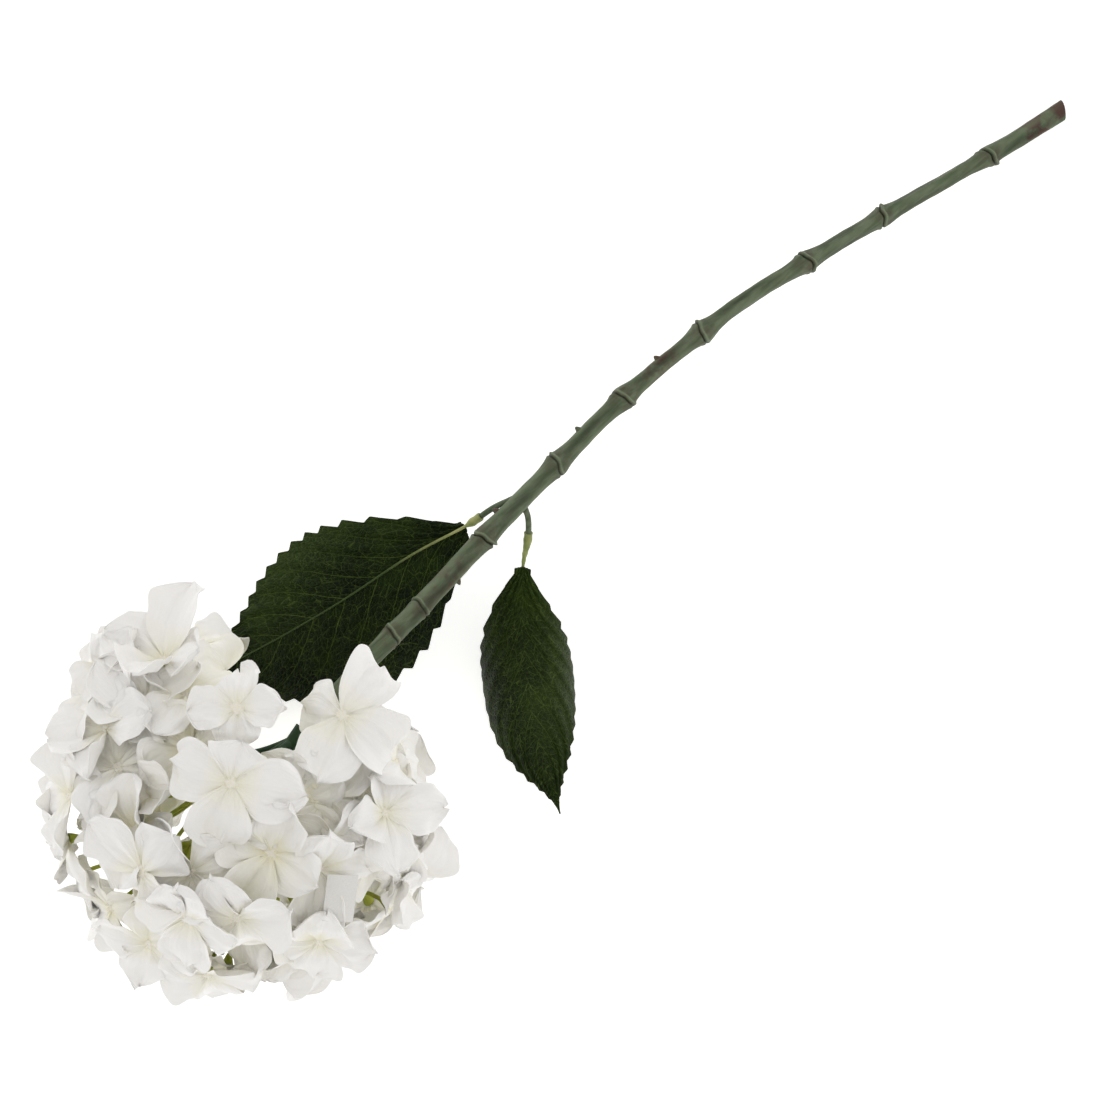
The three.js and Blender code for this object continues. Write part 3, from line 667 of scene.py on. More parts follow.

# %% Listed florets
# Each row: the floret's centre x, y, z, the bearing and rise that it faces, the bearing of its first
# petal, how far its petals open forward, and its four petals' lengths. Millimetres and degrees.
SEEN_FLORETS = [
    (-109, 3, 130, 20, 74, 21, 10, (29, 22, 31, 29)),
    (-139, 33, 145, 55, 66, 52, 14, (23, 21, 16, 20)),
    (-159, 11, 156, -150, 82, 40, 12, (19, 30, 30, 32)),
    (-122, -39, 125, -25, 54, -28, 22, (28, 19, 22, 26)),
    (-136, -18, 131, -30, 76, -85, 22, (25, 23, 26, 24)),
    (-106, -26, 108, -25, 14, 60, 20, (26, 24, 27, 25)),
    (-123, -22, 113, 0, 56, -15, 20, (25, 23, 26, 24)),
    (-136, -66, 88, -62, 28, 2, 24, (26, 22, 24, 27)),
    (-149, -72, 84, -82, 6, -38, 12, (25, 20, 25, 29)),
    (-186, -67, 72, -115, 24, -152, 16, (28, 24, 25, 29)),
    (-157, -39, 132, -110, 56, -145, 20, (26, 24, 27, 25)),
    (-167, -21, 141, -140, 68, -158, 22, (26, 24, 27, 25)),
    (-194, -33, 142, -132, 44, -102, 16, (30, 25, 27, 31)),
    (-210, -20, 137, -158, 40, -140, 22, (27, 24, 28, 23)),
    (-212, 7, 141, 165, 46, 175, 14, (29, 24, 26, 30)),
    (-204, 21, 130, 145, 54, 130, 24, (27, 25, 28, 26)),
    (-218, 50, 116, 138, 34, 154, 14, (31, 26, 23, 27)),
    (-194, 46, 127, 110, 56, 22, 20, (26, 24, 27, 25)),
    (-213, 62, 92, 125, 18, 110, 10, (31, 27, 22, 26)),
    (-188, 62, 123, 115, 44, 146, 20, (26, 24, 27, 25)),
    (-181, 77, 112, 100, 34, 110, 18, (27, 29, 24, 26)),
    (-151, 68, 120, 72, 44, 28, 30, (36, 29, 25, 22)),
    (-169, 58, 123, 90, 62, 92, 24, (28, 24, 20, 27)),
    (-154, 51, 122, 35, 42, 15, 20, (33, 22, 26, 24)),
    (-166, 32, 131, 80, 72, 180, 24, (24, 26, 22, 25)),
    (-193, 30, 126, 125, 30, 52, 20, (29, 22, 30, 24)),
    (-197, -6, 140, -160, 56, -100, 24, (26, 24, 27, 25)),
    (-240, 4, 80, 175, 24, 160, 20, (27, 25, 28, 26)),
    (-235, 38, 84, 150, 20, 82, 18, (27, 25, 28, 26)),
    (-246, 24, 52, 165, 8, 120, 12, (26, 24, 27, 25)),
    (-219, -47, 76, -135, 16, -102, 14, (28, 26, 29, 27)),
    (-236, -32, 58, -155, 10, -130, 14, (27, 25, 28, 26)),
    (-147, -10, 134, -50, 68, -10, 24, (25, 23, 26, 24)),
    (-148, -37, 126, -100, 50, 110, 22, (26, 24, 27, 25)),
    (-172, 81, 112, 110, 54, 92, 14, (22, 22, 18, 20)),
]


# %% The rule for the other florets
def draw(n):
    """A repeatable number from 0 to 1 for any counting number."""
    wave = math.sin(n * 12.9898 + 4.1414) * 43758.5453
    return wave - math.floor(wave)


def spread(n, reach):
    return (2 * draw(n) - 1) * reach


def direction(bearing, rise):
    b = math.radians(bearing)
    r = math.radians(rise)
    return np.array([math.cos(r) * math.cos(b), math.cos(r) * math.sin(b), math.sin(r)])


def spread_directions(count, chosen, clear_angle, free=(), tries=400):
    """Adds directions to the chosen ones, each as far as it can be from all before it and from any side
    that is left free."""
    steps = np.arange(tries)
    heights = 1 - 2 * (steps + 0.5) / tries
    turns = steps * math.pi * (3 - math.sqrt(5))
    flats = np.sqrt(1 - heights**2)
    candidates = np.stack([flats * np.cos(turns), flats * np.sin(turns), heights], axis=1)
    candidates = candidates[candidates @ STEM_SIDE < math.cos(clear_angle)]
    everything = list(chosen)
    while len(everything) < count:
        nearest = (candidates @ np.array(everything + list(free)).T).max(axis=1)
        everything.append(candidates[int(np.argmin(nearest))])
    return everything


# %% Every floret's centre, facing and petals
RULE_SEED = 5000
UNEVEN = 0.1


def floret_at(centre, facing, spin, opening, lengths, index):
    centre = np.array([centre[0], centre[1], max(centre[2], LOWEST_CENTRE)])
    turn = np.array(Vector((0, 0, 1)).rotation_difference(Vector(facing)).to_matrix())
    petals = []
    for k, length in enumerate(lengths):
        seed = 40 * index + 8 * k
        petals.append({
            "angle": math.radians(spin + 90 * k + spread(seed, 9)),
            "length": length * (1 + spread(seed + 1, 0.05)),
            "width": sum(lengths) / 4 / PETAL_LENGTH * PETAL_WIDTH * (1 + spread(seed + 2, UNEVEN)),
            "lift": math.radians(opening) + spread(seed + 3, 0.16),
            "curl": 0.75 + spread(seed + 4, 0.8),
            "cup": 0.15 + spread(seed + 5, 0.34),
            "twist": spread(seed + 6, 0.36),
            "point": 0.2 + 0.8 * draw(seed + 7),
            "ruffle": 2 * math.pi * draw(seed + 7.5),
        })
    place = unit(centre - HEAD_CENTRE)
    return {
        "place": place, "centre": centre, "facing": facing, "turn": turn, "petals": petals, "index": index,
    }


def ruled_floret(place, index, out, out_spread, opening, opening_spread, length):
    """A floret on one side of the head, whose tilt, turn and petals differ a little from the next one's."""
    seed = RULE_SEED + 10 * index
    tilt = np.array([spread(seed + k, 1) for k in range(3)]) * LEAN
    centre = HEAD_CENTRE + place * (out + spread(seed + 3, out_spread))
    opening = opening + spread(seed + 4, opening_spread)
    lengths = [length * (1 + spread(seed + 6 + k, UNEVEN)) for k in range(4)]
    return floret_at(centre, unit(place + tilt), spread(seed + 5, 180), opening, lengths, index)


def all_florets():
    florets = []
    for index, (*centre, bearing, rise, spin, opening, lengths) in enumerate(SEEN_FLORETS):
        florets.append(floret_at(centre, direction(bearing, rise), spin, opening, lengths, index))
    seen = [unit(np.array(row[:3]) - HEAD_CENTRE) for row in SEEN_FLORETS]
    places = spread_directions(FLORET_COUNT, seen, CLEAR_ANGLE, LEAF_SIDES)
    outer = (OUT, OUT_SPREAD, OPENING, OPENING_SPREAD, PETAL_LENGTH)
    return florets + [ruled_floret(places[k], k, *outer) for k in range(len(seen), FLORET_COUNT)]


florets = all_florets()
print(len(florets), "florets, lowest centre", round(min(f["centre"][2] for f in florets), 1), "mm")

# %% [markdown]
# ### Petals
# Each floret is punched from white fabric as a cross of four petals, then pressed with heat so that the
# petals cup, twist and ruffle. A flat shape with a bump map would stay flat at the edges, where petals
# show most, so each petal is a grid bent by a formula: it lifts from the middle, curls back at the tip,
# cups sideways, twists a little, and waves along its edge.

# %% Petal shape
PETAL_ROWS = 20
PETAL_COLUMNS = 15
ROW_CROWDING = 0.8
PETAL_ROOT = 0.03
PETAL_REACH = 0.965
CLOTH = 0.3
SOLID_THICKNESS = 0.7
BROW = 0.6
RUFFLE = 2.4
FOLDS = 1.4
WAVY_EDGE = 0.07
MIDDLE_CREASE = 0.5
CREASE_BAND = (0.0, 1.2)
APEX = 1.4
# Petals that would pass through the table lie flat on it; none is changed above the second height
TABLE_LOW = -2.4
TABLE_LIFT = 9.0


def petal_half_width(petal, along):
    """Half the petal's width: it widens from the middle, where it meets its neighbours, to the brow, then
    rounds off or comes to a point."""
    swelling = np.sin(np.pi / 2 * np.minimum(along / BROW, 1))**0.8
    past = np.clip((along - BROW) / (1 - BROW), 0, 1)
    closing = (1 - past**(3.2 - 1.5 * petal["point"]))**(0.45 + 0.5 * petal["point"])
    return np.minimum(petal["width"] / 2 * swelling * closing, petal["length"] * along + SOLID_THICKNESS)


def rest_on_table(points):
    z = points[..., 2]
    pressed = TABLE_LOW + (TABLE_LIFT - TABLE_LOW) * np.exp((z - TABLE_LIFT) / (TABLE_LIFT - TABLE_LOW))
    points[..., 2] = np.maximum(np.where(z < TABLE_LIFT, pressed, z), CLOTH)
    return points


def petal_height(petal, side, along, across):
    """How far the cloth stands off the petal's plain curve; the sines' numbers are waves to a petal."""
    wave = petal["ruffle"]
    cupped = petal["cup"] * side**2 / 8 + petal["twist"] * side * along
    waves = np.sin(11 * along + wave + 3 * across) + 0.4 * np.sin(21 * along + 3 * wave - 2 * across)
    ruffles = RUFFLE * across**2 * along**1.5 * waves
    crease = MIDDLE_CREASE * hump(side, CREASE_BAND) * np.sin(np.pi * along)
    long_folds = FOLDS * np.sin(4.5 * across + wave) * along**0.7
    short_folds = 0.5 * FOLDS * np.sin(9 * across + 2 * wave + 3 * along) * np.sin(np.pi * along**0.8)
    crumples = 0.3 * FOLDS * np.sin(5 * across + 3 * wave) * np.sin(14 * along + 5 * wave) * along
    return cupped + ruffles - crease + long_folds + short_folds + crumples


def flat_turn(angle):
    c, s = math.cos(angle), math.sin(angle)
    return np.array([[c, s, 0], [-s, c, 0], [0, 0, 1]])


def petal_grid(floret, petal):
    along = (np.linspace(0.0, 1.0, PETAL_ROWS)**ROW_CROWDING * PETAL_REACH + PETAL_ROOT)[:, None]
    across = np.linspace(1, -1, PETAL_COLUMNS)[None, :]
    wavy = 1 + WAVY_EDGE * along * np.sin(13 * along + petal["ruffle"] + 2.5 * across)
    side = across * petal_half_width(petal, along) * wavy
    lean = petal["lift"] - petal["curl"] * along
    reach = petal["length"] * (np.sin(petal["lift"]) - np.sin(lean)) / petal["curl"]
    rise = petal["length"] * (np.cos(lean) - np.cos(petal["lift"])) / petal["curl"]
    height = petal_height(petal, side, along, across)
    drawn_out = APEX * (2 * petal["point"] - 0.7) * along**6 * (np.exp(-(across * 2.2)**2) - 0.3)
    reach = reach + drawn_out * np.cos(lean)
    bent = np.stack([reach - height * np.sin(lean), side, rise + height * np.cos(lean)], axis=-1)
    turned = bent @ flat_turn(petal["angle"])
    return rest_on_table(turned @ floret["turn"].T + floret["centre"]), along + 0 * across


# %% [markdown]
# The fabric is a fine off-white weave. It is cool white at the petal's edge and cream towards the middle
# of the floret and the inside of the head, where the light has gone through other petals. A little light
# goes into the cloth, so it gets some subsurface scattering, and a soft sheen for the nap.

# %% Petal finish
PETAL_WHITE = (0.97, 0.955, 0.93)
PETAL_CREAM = (0.93, 0.885, 0.64)
PETAL_CLOTH = {
    "Sheen Weight": 0.15, "Subsurface Weight": 0.35, "Subsurface Radius": (1.0, 0.97, 0.9),
    "Subsurface Scale": 0.0006,
}
WEAVE = 0.15
PLEATS = 2.4


def petal_finish():
    finish = Finish("petal_cloth", 0.85)
    cloudy = finish.noise(finish.place(), 60.0, 3.0)
    warmth = finish.math("MULTIPLY", finish.kept("warmth"), finish.steps(cloudy, 0.1, 0.6))
    finish.color(finish.mix(warmth, PETAL_WHITE, PETAL_CREAM))
    weave = finish.noise(finish.place(), 2600.0, 2.0)
    crease = finish.noise(finish.place(), 130.0, 4.0)
    fan = finish.node("ShaderNodeCombineXYZ", X=finish.kept("fan"), Y=finish.kept("out_along"))
    pleats = finish.noise(fan.outputs["Vector"], 1.0, 2.0)
    crease = finish.math("ADD", crease, finish.math("MULTIPLY", pleats, PLEATS))
    finish.bump(finish.math("ADD", finish.math("MULTIPLY", weave, WEAVE), crease), 0.0012, 0.5)
    set_sockets(finish.shader, PETAL_CLOTH)
    return finish.material


# %% [markdown]
# Some petals cross in the solids, and those florets are one solid there. Each floret here joins the piece
# that stands for the solid nearest to its middle, so every solid has its own piece.

# %% Which solid each floret belongs to
floret_nodes = sorted(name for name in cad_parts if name.startswith("florets_"))


def nearest_node(floret):
    middle = to_frame(floret["centre"])
    gaps = {}
    for name in floret_nodes:
        corners = np.array([v.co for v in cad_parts[name].data.vertices])
        gaps[name] = np.linalg.norm(corners - middle, axis=1).min()
    return min(gaps, key=gaps.get)


homes = [nearest_node(floret) for floret in florets]
print({name: homes.count(name) for name in floret_nodes})


# %% Build the florets
CREAM_DEPTH = 80.0
CREAM_FADE = 32.0
CREAM_MIDDLE = 0.45
MIDDLE_WARMTH = 0.8
INNER_WARMTH = 0.9
FAN_WIDTH = 4
FAN_APART = 10.0


def floret_mesh(floret):
    """The four petals, with how cream each point is and where it lies in its petal's fan of creases."""
    parts = []
    values = {"warmth": [], "fan": [], "out_along": []}
    for number, petal in enumerate(floret["petals"]):
        grid, along = petal_grid(floret, petal)
        parts.append(thick_sheet(grid, CLOTH))
        depth = np.linalg.norm(parts[-1][0] - HEAD_CENTRE, axis=1)
        # Deep in the head the cream is painted light: it stands for light that has come through other
        # petals.
        inner = np.clip((CREAM_DEPTH - depth) / CREAM_FADE, 0, 1)
        out_along = np.tile(along.reshape(-1), 2)
        near_middle = np.clip(1 - out_along / CREAM_MIDDLE, 0, 1)
        warmth = MIDDLE_WARMTH * near_middle + INNER_WARMTH * inner
        values["warmth"].append(np.clip(warmth, 0, 1))
        across = np.linspace(1, -1, PETAL_COLUMNS)[None, :] + 0 * along
        start = FAN_APART * (4 * floret["index"] + number)
        values["fan"].append(start + np.tile((FAN_WIDTH * across).reshape(-1), 2))
        values["out_along"].append(out_along)
    return joined(parts), {key: np.concatenate(numbers) for key, numbers in values.items()}


def add_florets(name, built, nodes):
    values = {key: np.concatenate([own[key] for _, own in built]) for key in built[0][1]}
    add_piece(name, joined([mesh for mesh, _ in built]), petal_material, nodes, values)


petal_material = petal_finish()
for name in floret_nodes:
    built = [floret_mesh(floret) for floret, home in zip(florets, homes) if home == name]
    if built:
        add_florets(f"cloth_{name}", built, [name])

# %% [markdown]
# A second, smaller layer of florets sits deeper in the head, where the largest gaps are. Only its edges
# show between the outer petals, so the solids leave it out, but it is what makes the head look full.

# %% The inner layer
INNER_COUNT = 30
INNER_OUT = 56.0
INNER_SPREAD = 4
INNER_LENGTH = 22.0
INNER_OPENING = OPENING * 1.6
FILLER_LENGTH = INNER_LENGTH * 1.15
LEAF_ROOM = 0.72
# Florets listed where the head's edge shows a gap: centre, bearing and rise faced, spin, opening
GAP_FILLERS = [
    ((-236, -18, 92), (196, 46), 30, 18), ((-226, -44, 88), (226, 42), 75, 18),
    ((-182, -64, 92), (262, 40), 10, 20), ((-128, -52, 96), (300, 42), 50, 20),
]


def inner_florets():
    count = FLORET_COUNT + INNER_COUNT
    outer = [floret["place"] for floret in florets]
    places = spread_directions(count, outer, CLEAR_ANGLE, LEAF_SIDES)
    inner = []
    for index, (centre, faced, spin, opening) in enumerate(GAP_FILLERS, start=count):
        inner.append(floret_at(centre, direction(*faced), spin, opening, [FILLER_LENGTH] * 4, index))
    deep = (INNER_OUT, INNER_SPREAD, INNER_OPENING, 0, INNER_LENGTH)
    for index in range(FLORET_COUNT, count):
        if max(places[index] @ side for side in LEAF_SIDES) <= LEAF_ROOM:
            inner.append(ruled_floret(places[index], index, *deep))
    return inner


inner = inner_florets()
add_florets("inner_florets", [floret_mesh(floret) for floret in inner], [])

# %% [markdown]
# Stamens, branches, pedicels, ribs and tag are plain pieces: one colour in two tones under a fine grain.
# One recipe serves them all, and only the colours and the sizes of patches and grain change.

# %% Plain finishes
def mottled(name, roughness, tones, patches, grain, height, strength=0.4, sunk=None):
    """Two tones in soft patches under a fine grain; patches and grain are a noise's scale and detail.

    A moulding that sinks into another piece takes the sunk colour there.
    """
    finish = Finish(name, roughness)
    tone = finish.steps(finish.noise(finish.place(), *patches), 0.3, 0.7)
    color = finish.mix(tone, *tones)
    finish.color(finish.mix(finish.kept("buried"), color, sunk) if sunk else color)
    finish.bump(finish.noise(finish.place(), *grain), height, strength)
    return finish.material


# %% [markdown]
# ### Stamens
# In the middle of each floret sits a tuft of tiny cream stamens, about 7 mm across. They are real geometry:
# short threads, each with a round anther, on a low dome that hides the joint of the petals.

# %% Stamen tufts
STAMENS = 17
TUFT_RADIUS = 3.3
TUFT_HEIGHT = 1.3
TUFT_RISE = 1.15
TUFT_FALL = 0.35
UNEVEN_HEIGHT = 0.3
FOOT_SPREAD = 0.6
TOP_SPREAD = 1.1
FOOT_HEIGHT = 0.5
THREAD = 0.14
ANTHER = 0.26
ANTHER_ROUND = ANTHER * np.array([0.35, 0.85, 1.0, 0.85, 0.35])
DOME_RISE = np.array([0.1, 0.5, 0.7, 0.8])
DOME = TUFT_RADIUS * np.array([0.95, 0.85, 0.55, 0.15])
GOLDEN_TURN = math.pi * (3 - math.sqrt(5))
STAMEN_TONES = ((0.93, 0.91, 0.86), (0.90, 0.86, 0.72))


def tuft_mesh(floret):
    turn = floret["turn"]
    base = floret["centre"]
    dome_curve = measured(base + DOME_RISE[:, None] * floret["facing"])
    parts = [rod_mesh(dome_curve, dome_curve[1], DOME, 12)]
    for k in range(STAMENS):
        reach = TUFT_RADIUS * math.sqrt((k + 0.5) / STAMENS)
        angle = k * GOLDEN_TURN + floret["index"]
        way = reach * np.array([math.cos(angle), math.sin(angle), 0])
        height = TUFT_HEIGHT * (TUFT_RISE - TUFT_FALL * reach / TUFT_RADIUS)
        height = height + spread(97 * floret["index"] + k, UNEVEN_HEIGHT)
        top = base + turn @ (way * TOP_SPREAD + UP * height)
        foot = base + turn @ (way * FOOT_SPREAD + UP * FOOT_HEIGHT)
        anther = ANTHER * floret["facing"]
        parts.append(straight_rod(foot, top, np.full(3, THREAD), 5))
        parts.append(straight_rod(top - anther, top + anther, ANTHER_ROUND, 6))
    return joined(parts)


stamen_material = mottled("stamen_cream", 0.6, STAMEN_TONES, (900.0, 2.0), (900.0, 2.0), 0.0001, 0.5)
tufts = joined([tuft_mesh(floret) for floret in florets + inner])
add_piece("stamen_tufts", tufts, stamen_material, [])

# %% [markdown]
# ### Branches and pedicels
# Inside the head a dark green hub plugs onto the stem and splits into branches. A yellow-green knot sits
# on each branch, and from it a pedicel runs to each floret, widening into a cone under the petals. They
# show only through gaps, but without them the gaps would look into an empty ball.

# %% Branches
HUB_AT = np.array([-129.0, 8.7, 78.0])
HUB_LENGTH = 9.0
HUB_RADIUS = 4.4
HUB_TAPER = 0.7
BRANCH_COUNT = 8
BRANCH_REACH = 27.0
BRANCH_ROOT = 2.0
BRANCH_TIP = 1.25
BRANCH_CLEAR = math.radians(50)
BRANCH_ROWS = 24
BRANCH_TONES = ((0.022, 0.055, 0.03), (0.05, 0.10, 0.05))

branch_ways = spread_directions(BRANCH_COUNT, [direction(180, 0)], BRANCH_CLEAR)
branch_ends = [HEAD_CENTRE + way * BRANCH_REACH for way in branch_ways]


def branch_mesh(way, end):
    root = HUB_AT - STEM_SIDE * HUB_LENGTH / 2
    reach = np.linalg.norm(end - root) / 3
    curve = bezier_curve(root, root - STEM_SIDE * reach + way * reach * 0.4, end - way * reach, end)
    distances = np.linspace(0, curve[1][-1] - GAP, BRANCH_ROWS)
    return rod_mesh(curve, distances, np.linspace(BRANCH_ROOT, BRANCH_TIP, BRANCH_ROWS), 14)


hub_radii = HUB_RADIUS * np.linspace(1, HUB_TAPER, 12)
hub = straight_rod(HUB_AT - STEM_SIDE * GAP, HUB_AT - STEM_SIDE * HUB_LENGTH, hub_radii, 24)
whorl = joined([hub] + [branch_mesh(way, end) for way, end in zip(branch_ways, branch_ends)])
branch_material = mottled("branch_plastic", 0.5, BRANCH_TONES, (180.0, 3.0), (500.0, 3.0), 0.0003)
add_piece("branch_whorl", whorl, branch_material, ["branches"])


# %% Pedicels
KNOT_RADIUS = 2.7
KNOT_HALF = 2.4
KNOT_ROWS = 9
KNOT_CUT = 0.8
PEDICEL_ROOT = 1.15
PEDICEL_RADIUS = 0.85
CALYX_RADIUS = 2.5
CALYX_HEIGHT = 5.0
CALYX_BROW = 0.3
PEDICEL_TONES = ((0.29, 0.35, 0.03), (0.50, 0.53, 0.09))


def branch_of(floret):
    return int(np.argmax([floret["place"] @ way for way in branch_ways]))


def pedicel_mesh(floret):
    way = branch_ways[branch_of(floret)]
    start = branch_ends[branch_of(floret)]
    end = floret["centre"] - floret["facing"] * (SOLID_THICKNESS / 2 + GAP)
    reach = np.linalg.norm(end - start) / 3
    curve = bezier_curve(start, start + way * reach * 0.6, end - floret["facing"] * reach, end)
    length = curve[1][-1]
    along_calyx = length - np.linspace(0, CALYX_HEIGHT, 7)
    distances = np.unique(np.concatenate([np.linspace(0, length, 14), along_calyx]))
    stops = [0, length * 0.5, length - CALYX_HEIGHT, length - CALYX_HEIGHT * CALYX_BROW, length]
    sizes = [PEDICEL_ROOT, PEDICEL_RADIUS, PEDICEL_RADIUS * 1.15, CALYX_RADIUS * 0.86, CALYX_RADIUS]
    return rod_mesh(curve, distances, np.interp(distances, stops, sizes), 10)


def knot_mesh(middle, way):
    rounded = np.sin(np.linspace(KNOT_CUT, np.pi - KNOT_CUT, KNOT_ROWS))
    return straight_rod(middle - way * KNOT_HALF, middle + way * KNOT_HALF, KNOT_RADIUS * rounded, 16)


pedicel_material = mottled("pedicel_plastic", 0.5, PEDICEL_TONES, (160.0, 3.0), (800.0, 3.0), 0.0002)
for index, (way, end) in enumerate(zip(branch_ways, branch_ends)):
    own = [pedicel_mesh(floret) for floret in florets if branch_of(floret) == index]
    node = f"pedicel_spray_{index + 1}"
    add_piece(f"green_{node}", joined([knot_mesh(end, way)] + own), pedicel_material, [node])

inner_pedicels = joined([pedicel_mesh(floret) for floret in inner])
add_piece("inner_pedicels", inner_pedicels, pedicel_material, [])

# %% [markdown]
# ## The leaves
# Each leaf is a sheet of printed, heat-pressed fabric glued under a moulded rib. The pressing raises the
# cloth between the side veins and cuts a toothed edge. The grid's rows follow the side veins, from the
# midrib out and forward to the margin, so veins, pillows and teeth all fall on rows and need no texture.

# %% The rib's line
LEAF_THICKNESS = 0.7
RIB_ROOT = 0.95
RIB_TIP = 0.35
RIB_END = 0.96
VISIBLE_RIB = 0.75


def rib_radius(along):
    return RIB_ROOT + (RIB_TIP - RIB_ROOT) * np.sqrt(along)


# %% The leaf's outline
BLUNT_BASE = 0.05
SMOOTH_BASE = 0.08
TOOTH_GROWTH = 3.5
TOOTH_FADE = 6.0
TOOTH_BACK = 0.72
TOOTH_INSET = 0.9


def leaf_half_width(leaf, along, hand):
    """A lopsided leaf is wider on its left half, which also fills out sooner."""
    taper = leaf["taper"] * (1 - 2 * leaf["lopsided"] * hand) + leaf["sharpness"] * along
    swelling = np.sin(np.pi * np.clip(along, 1e-6, 1 - 1e-6))**taper
    width = leaf["half_width"] * (1 + leaf["lopsided"] * hand) * swelling
    return np.maximum(width, np.where(along < BLUNT_BASE, leaf["base_width"], 0))


def tooth_depth(leaf, along):
    growth = np.minimum(TOOTH_GROWTH * along, TOOTH_FADE * (1 - along))
    return leaf["tooth"] * (along > SMOOTH_BASE) * np.minimum(1, growth)


def saw_tooth(row, side):
    """A tooth for every two rows of the solid: a long back and a short front that points to the tip."""
    phase = ((row + 1) / 2) % 1.0
    tooth = np.where(phase < TOOTH_BACK, phase / TOOTH_BACK, (1 - phase) / (1 - TOOTH_BACK)) * 2 - 1
    return tooth * np.clip((side - TOOTH_INSET) / (1 - TOOTH_INSET), 0, 1)


# %% The leaf's grid
SOLID_ROWS = 32
FINE = 8
ROW_INSET = 0.12
LEAF_COLUMNS = 25
SWEEP = 0.15
PLEAT = 0.6
ROWS_PER_VEIN = 4
VEINS_ABOVE_ZERO = 10.5
VEIN_SWEEP = {1: 7.0, -1: 12.0}
VEINS_START = {1: 0.0, -1: 14.0}
NET_SWEEP = 2


def blade_grid(leaf):
    """The cloth's points, and for each point what the finish needs to know of veins and net."""
    rows = np.linspace(ROW_INSET, SOLID_ROWS - ROW_INSET, SOLID_ROWS * FINE)[:, None]
    across = np.linspace(-1, 1, 2 * LEAF_COLUMNS - 1)
    across = np.sign(across) * np.abs(across)**0.8
    side, hand = np.abs(across)[None, :], np.sign(across)[None, :]
    rooted = rows / SOLID_ROWS
    along = rooted + SWEEP * side * np.sin(np.pi * rooted**0.7)
    distance = leaf["start"] + (leaf["length"] - leaf["start"]) * along
    centre = curve_at(leaf["curve"], distance)
    forward = tangents_at(leaf["curve"], distance)
    left = unit(np.cross(UP, forward))
    up = np.cross(forward, left)
    rolled = math.cos(leaf["roll"]), math.sin(leaf["roll"])
    left, up = left * rolled[0] + up * rolled[1], up * rolled[0] - left * rolled[1]
    half_width = leaf_half_width(leaf, along, hand)
    reach = side * half_width + tooth_depth(leaf, along) * saw_tooth(rows, side)
    turn = reach / leaf["bend"]
    vein_row = rows - VEIN_SWEEP[leaf["rib_side"]] * side
    pleat = PLEAT * np.sin(np.pi * side) * np.cos(2 * np.pi * vein_row / ROWS_PER_VEIN)
    clear_of_rib = leaf["rib_side"] * (rib_radius(along) + GAP + LEAF_THICKNESS / 2)
    height = pleat - leaf["bend"] * (1 - np.cos(turn)) - clear_of_rib
    grid = centre + left * (hand * leaf["bend"] * np.sin(turn))[..., None] + up * height[..., None]
    return grid, {
        "vein_row": vein_row + VEINS_ABOVE_ZERO * ROWS_PER_VEIN,
        "net_row": rows - NET_SWEEP * side,
        "aside": hand * side * half_width,
        "from_rib": side * half_width + VEINS_START[leaf["rib_side"]],
    }


# %% [markdown]
# The leaf cloth is dark green with thin yellow-green veins. The side veins are kept at the points of
# the grid, and a fine net between them comes from a cell pattern laid out along the veins. The pressed
# net also stands up a little, which the bump shows.

# %% Leaf finish
LEAF_DARK = (0.002, 0.007, 0.001)
LEAF_MID = (0.019, 0.037, 0.003)
LEAF_VEIN = (0.085, 0.125, 0.022)
# How far painted light pales one half of the blade
MOST_PAINTED_LIGHT = 0.9
VEIN_FADING = (34.0, 5.0)
VEIN_AT_RIB = 0.6
VEIN_AT_MARGIN = 0.12
VEIN_CORE = 0.02
NET_STRETCH = 4.2
COARSE_NET = 0.24
FINE_NET = 0.6
COARSE_STRENGTH = 0.35
FINE_STRENGTH = 0.15
COARSE_WIDTH = 0.035
FINE_WIDTH = 0.06
# For each leaf: how strong and how wide its side veins are, how strong and how fine its net is, and the
# distances beside the rib between which painted light makes one half of the blade paler
LEAF_LOOKS = {
    "large": (1.5, 0.08, 1.6, 1.1, -6.0, -36.0),
    "small": (1.6, 0.15, 2.2, 1.35, -20.0, 26.0),
}


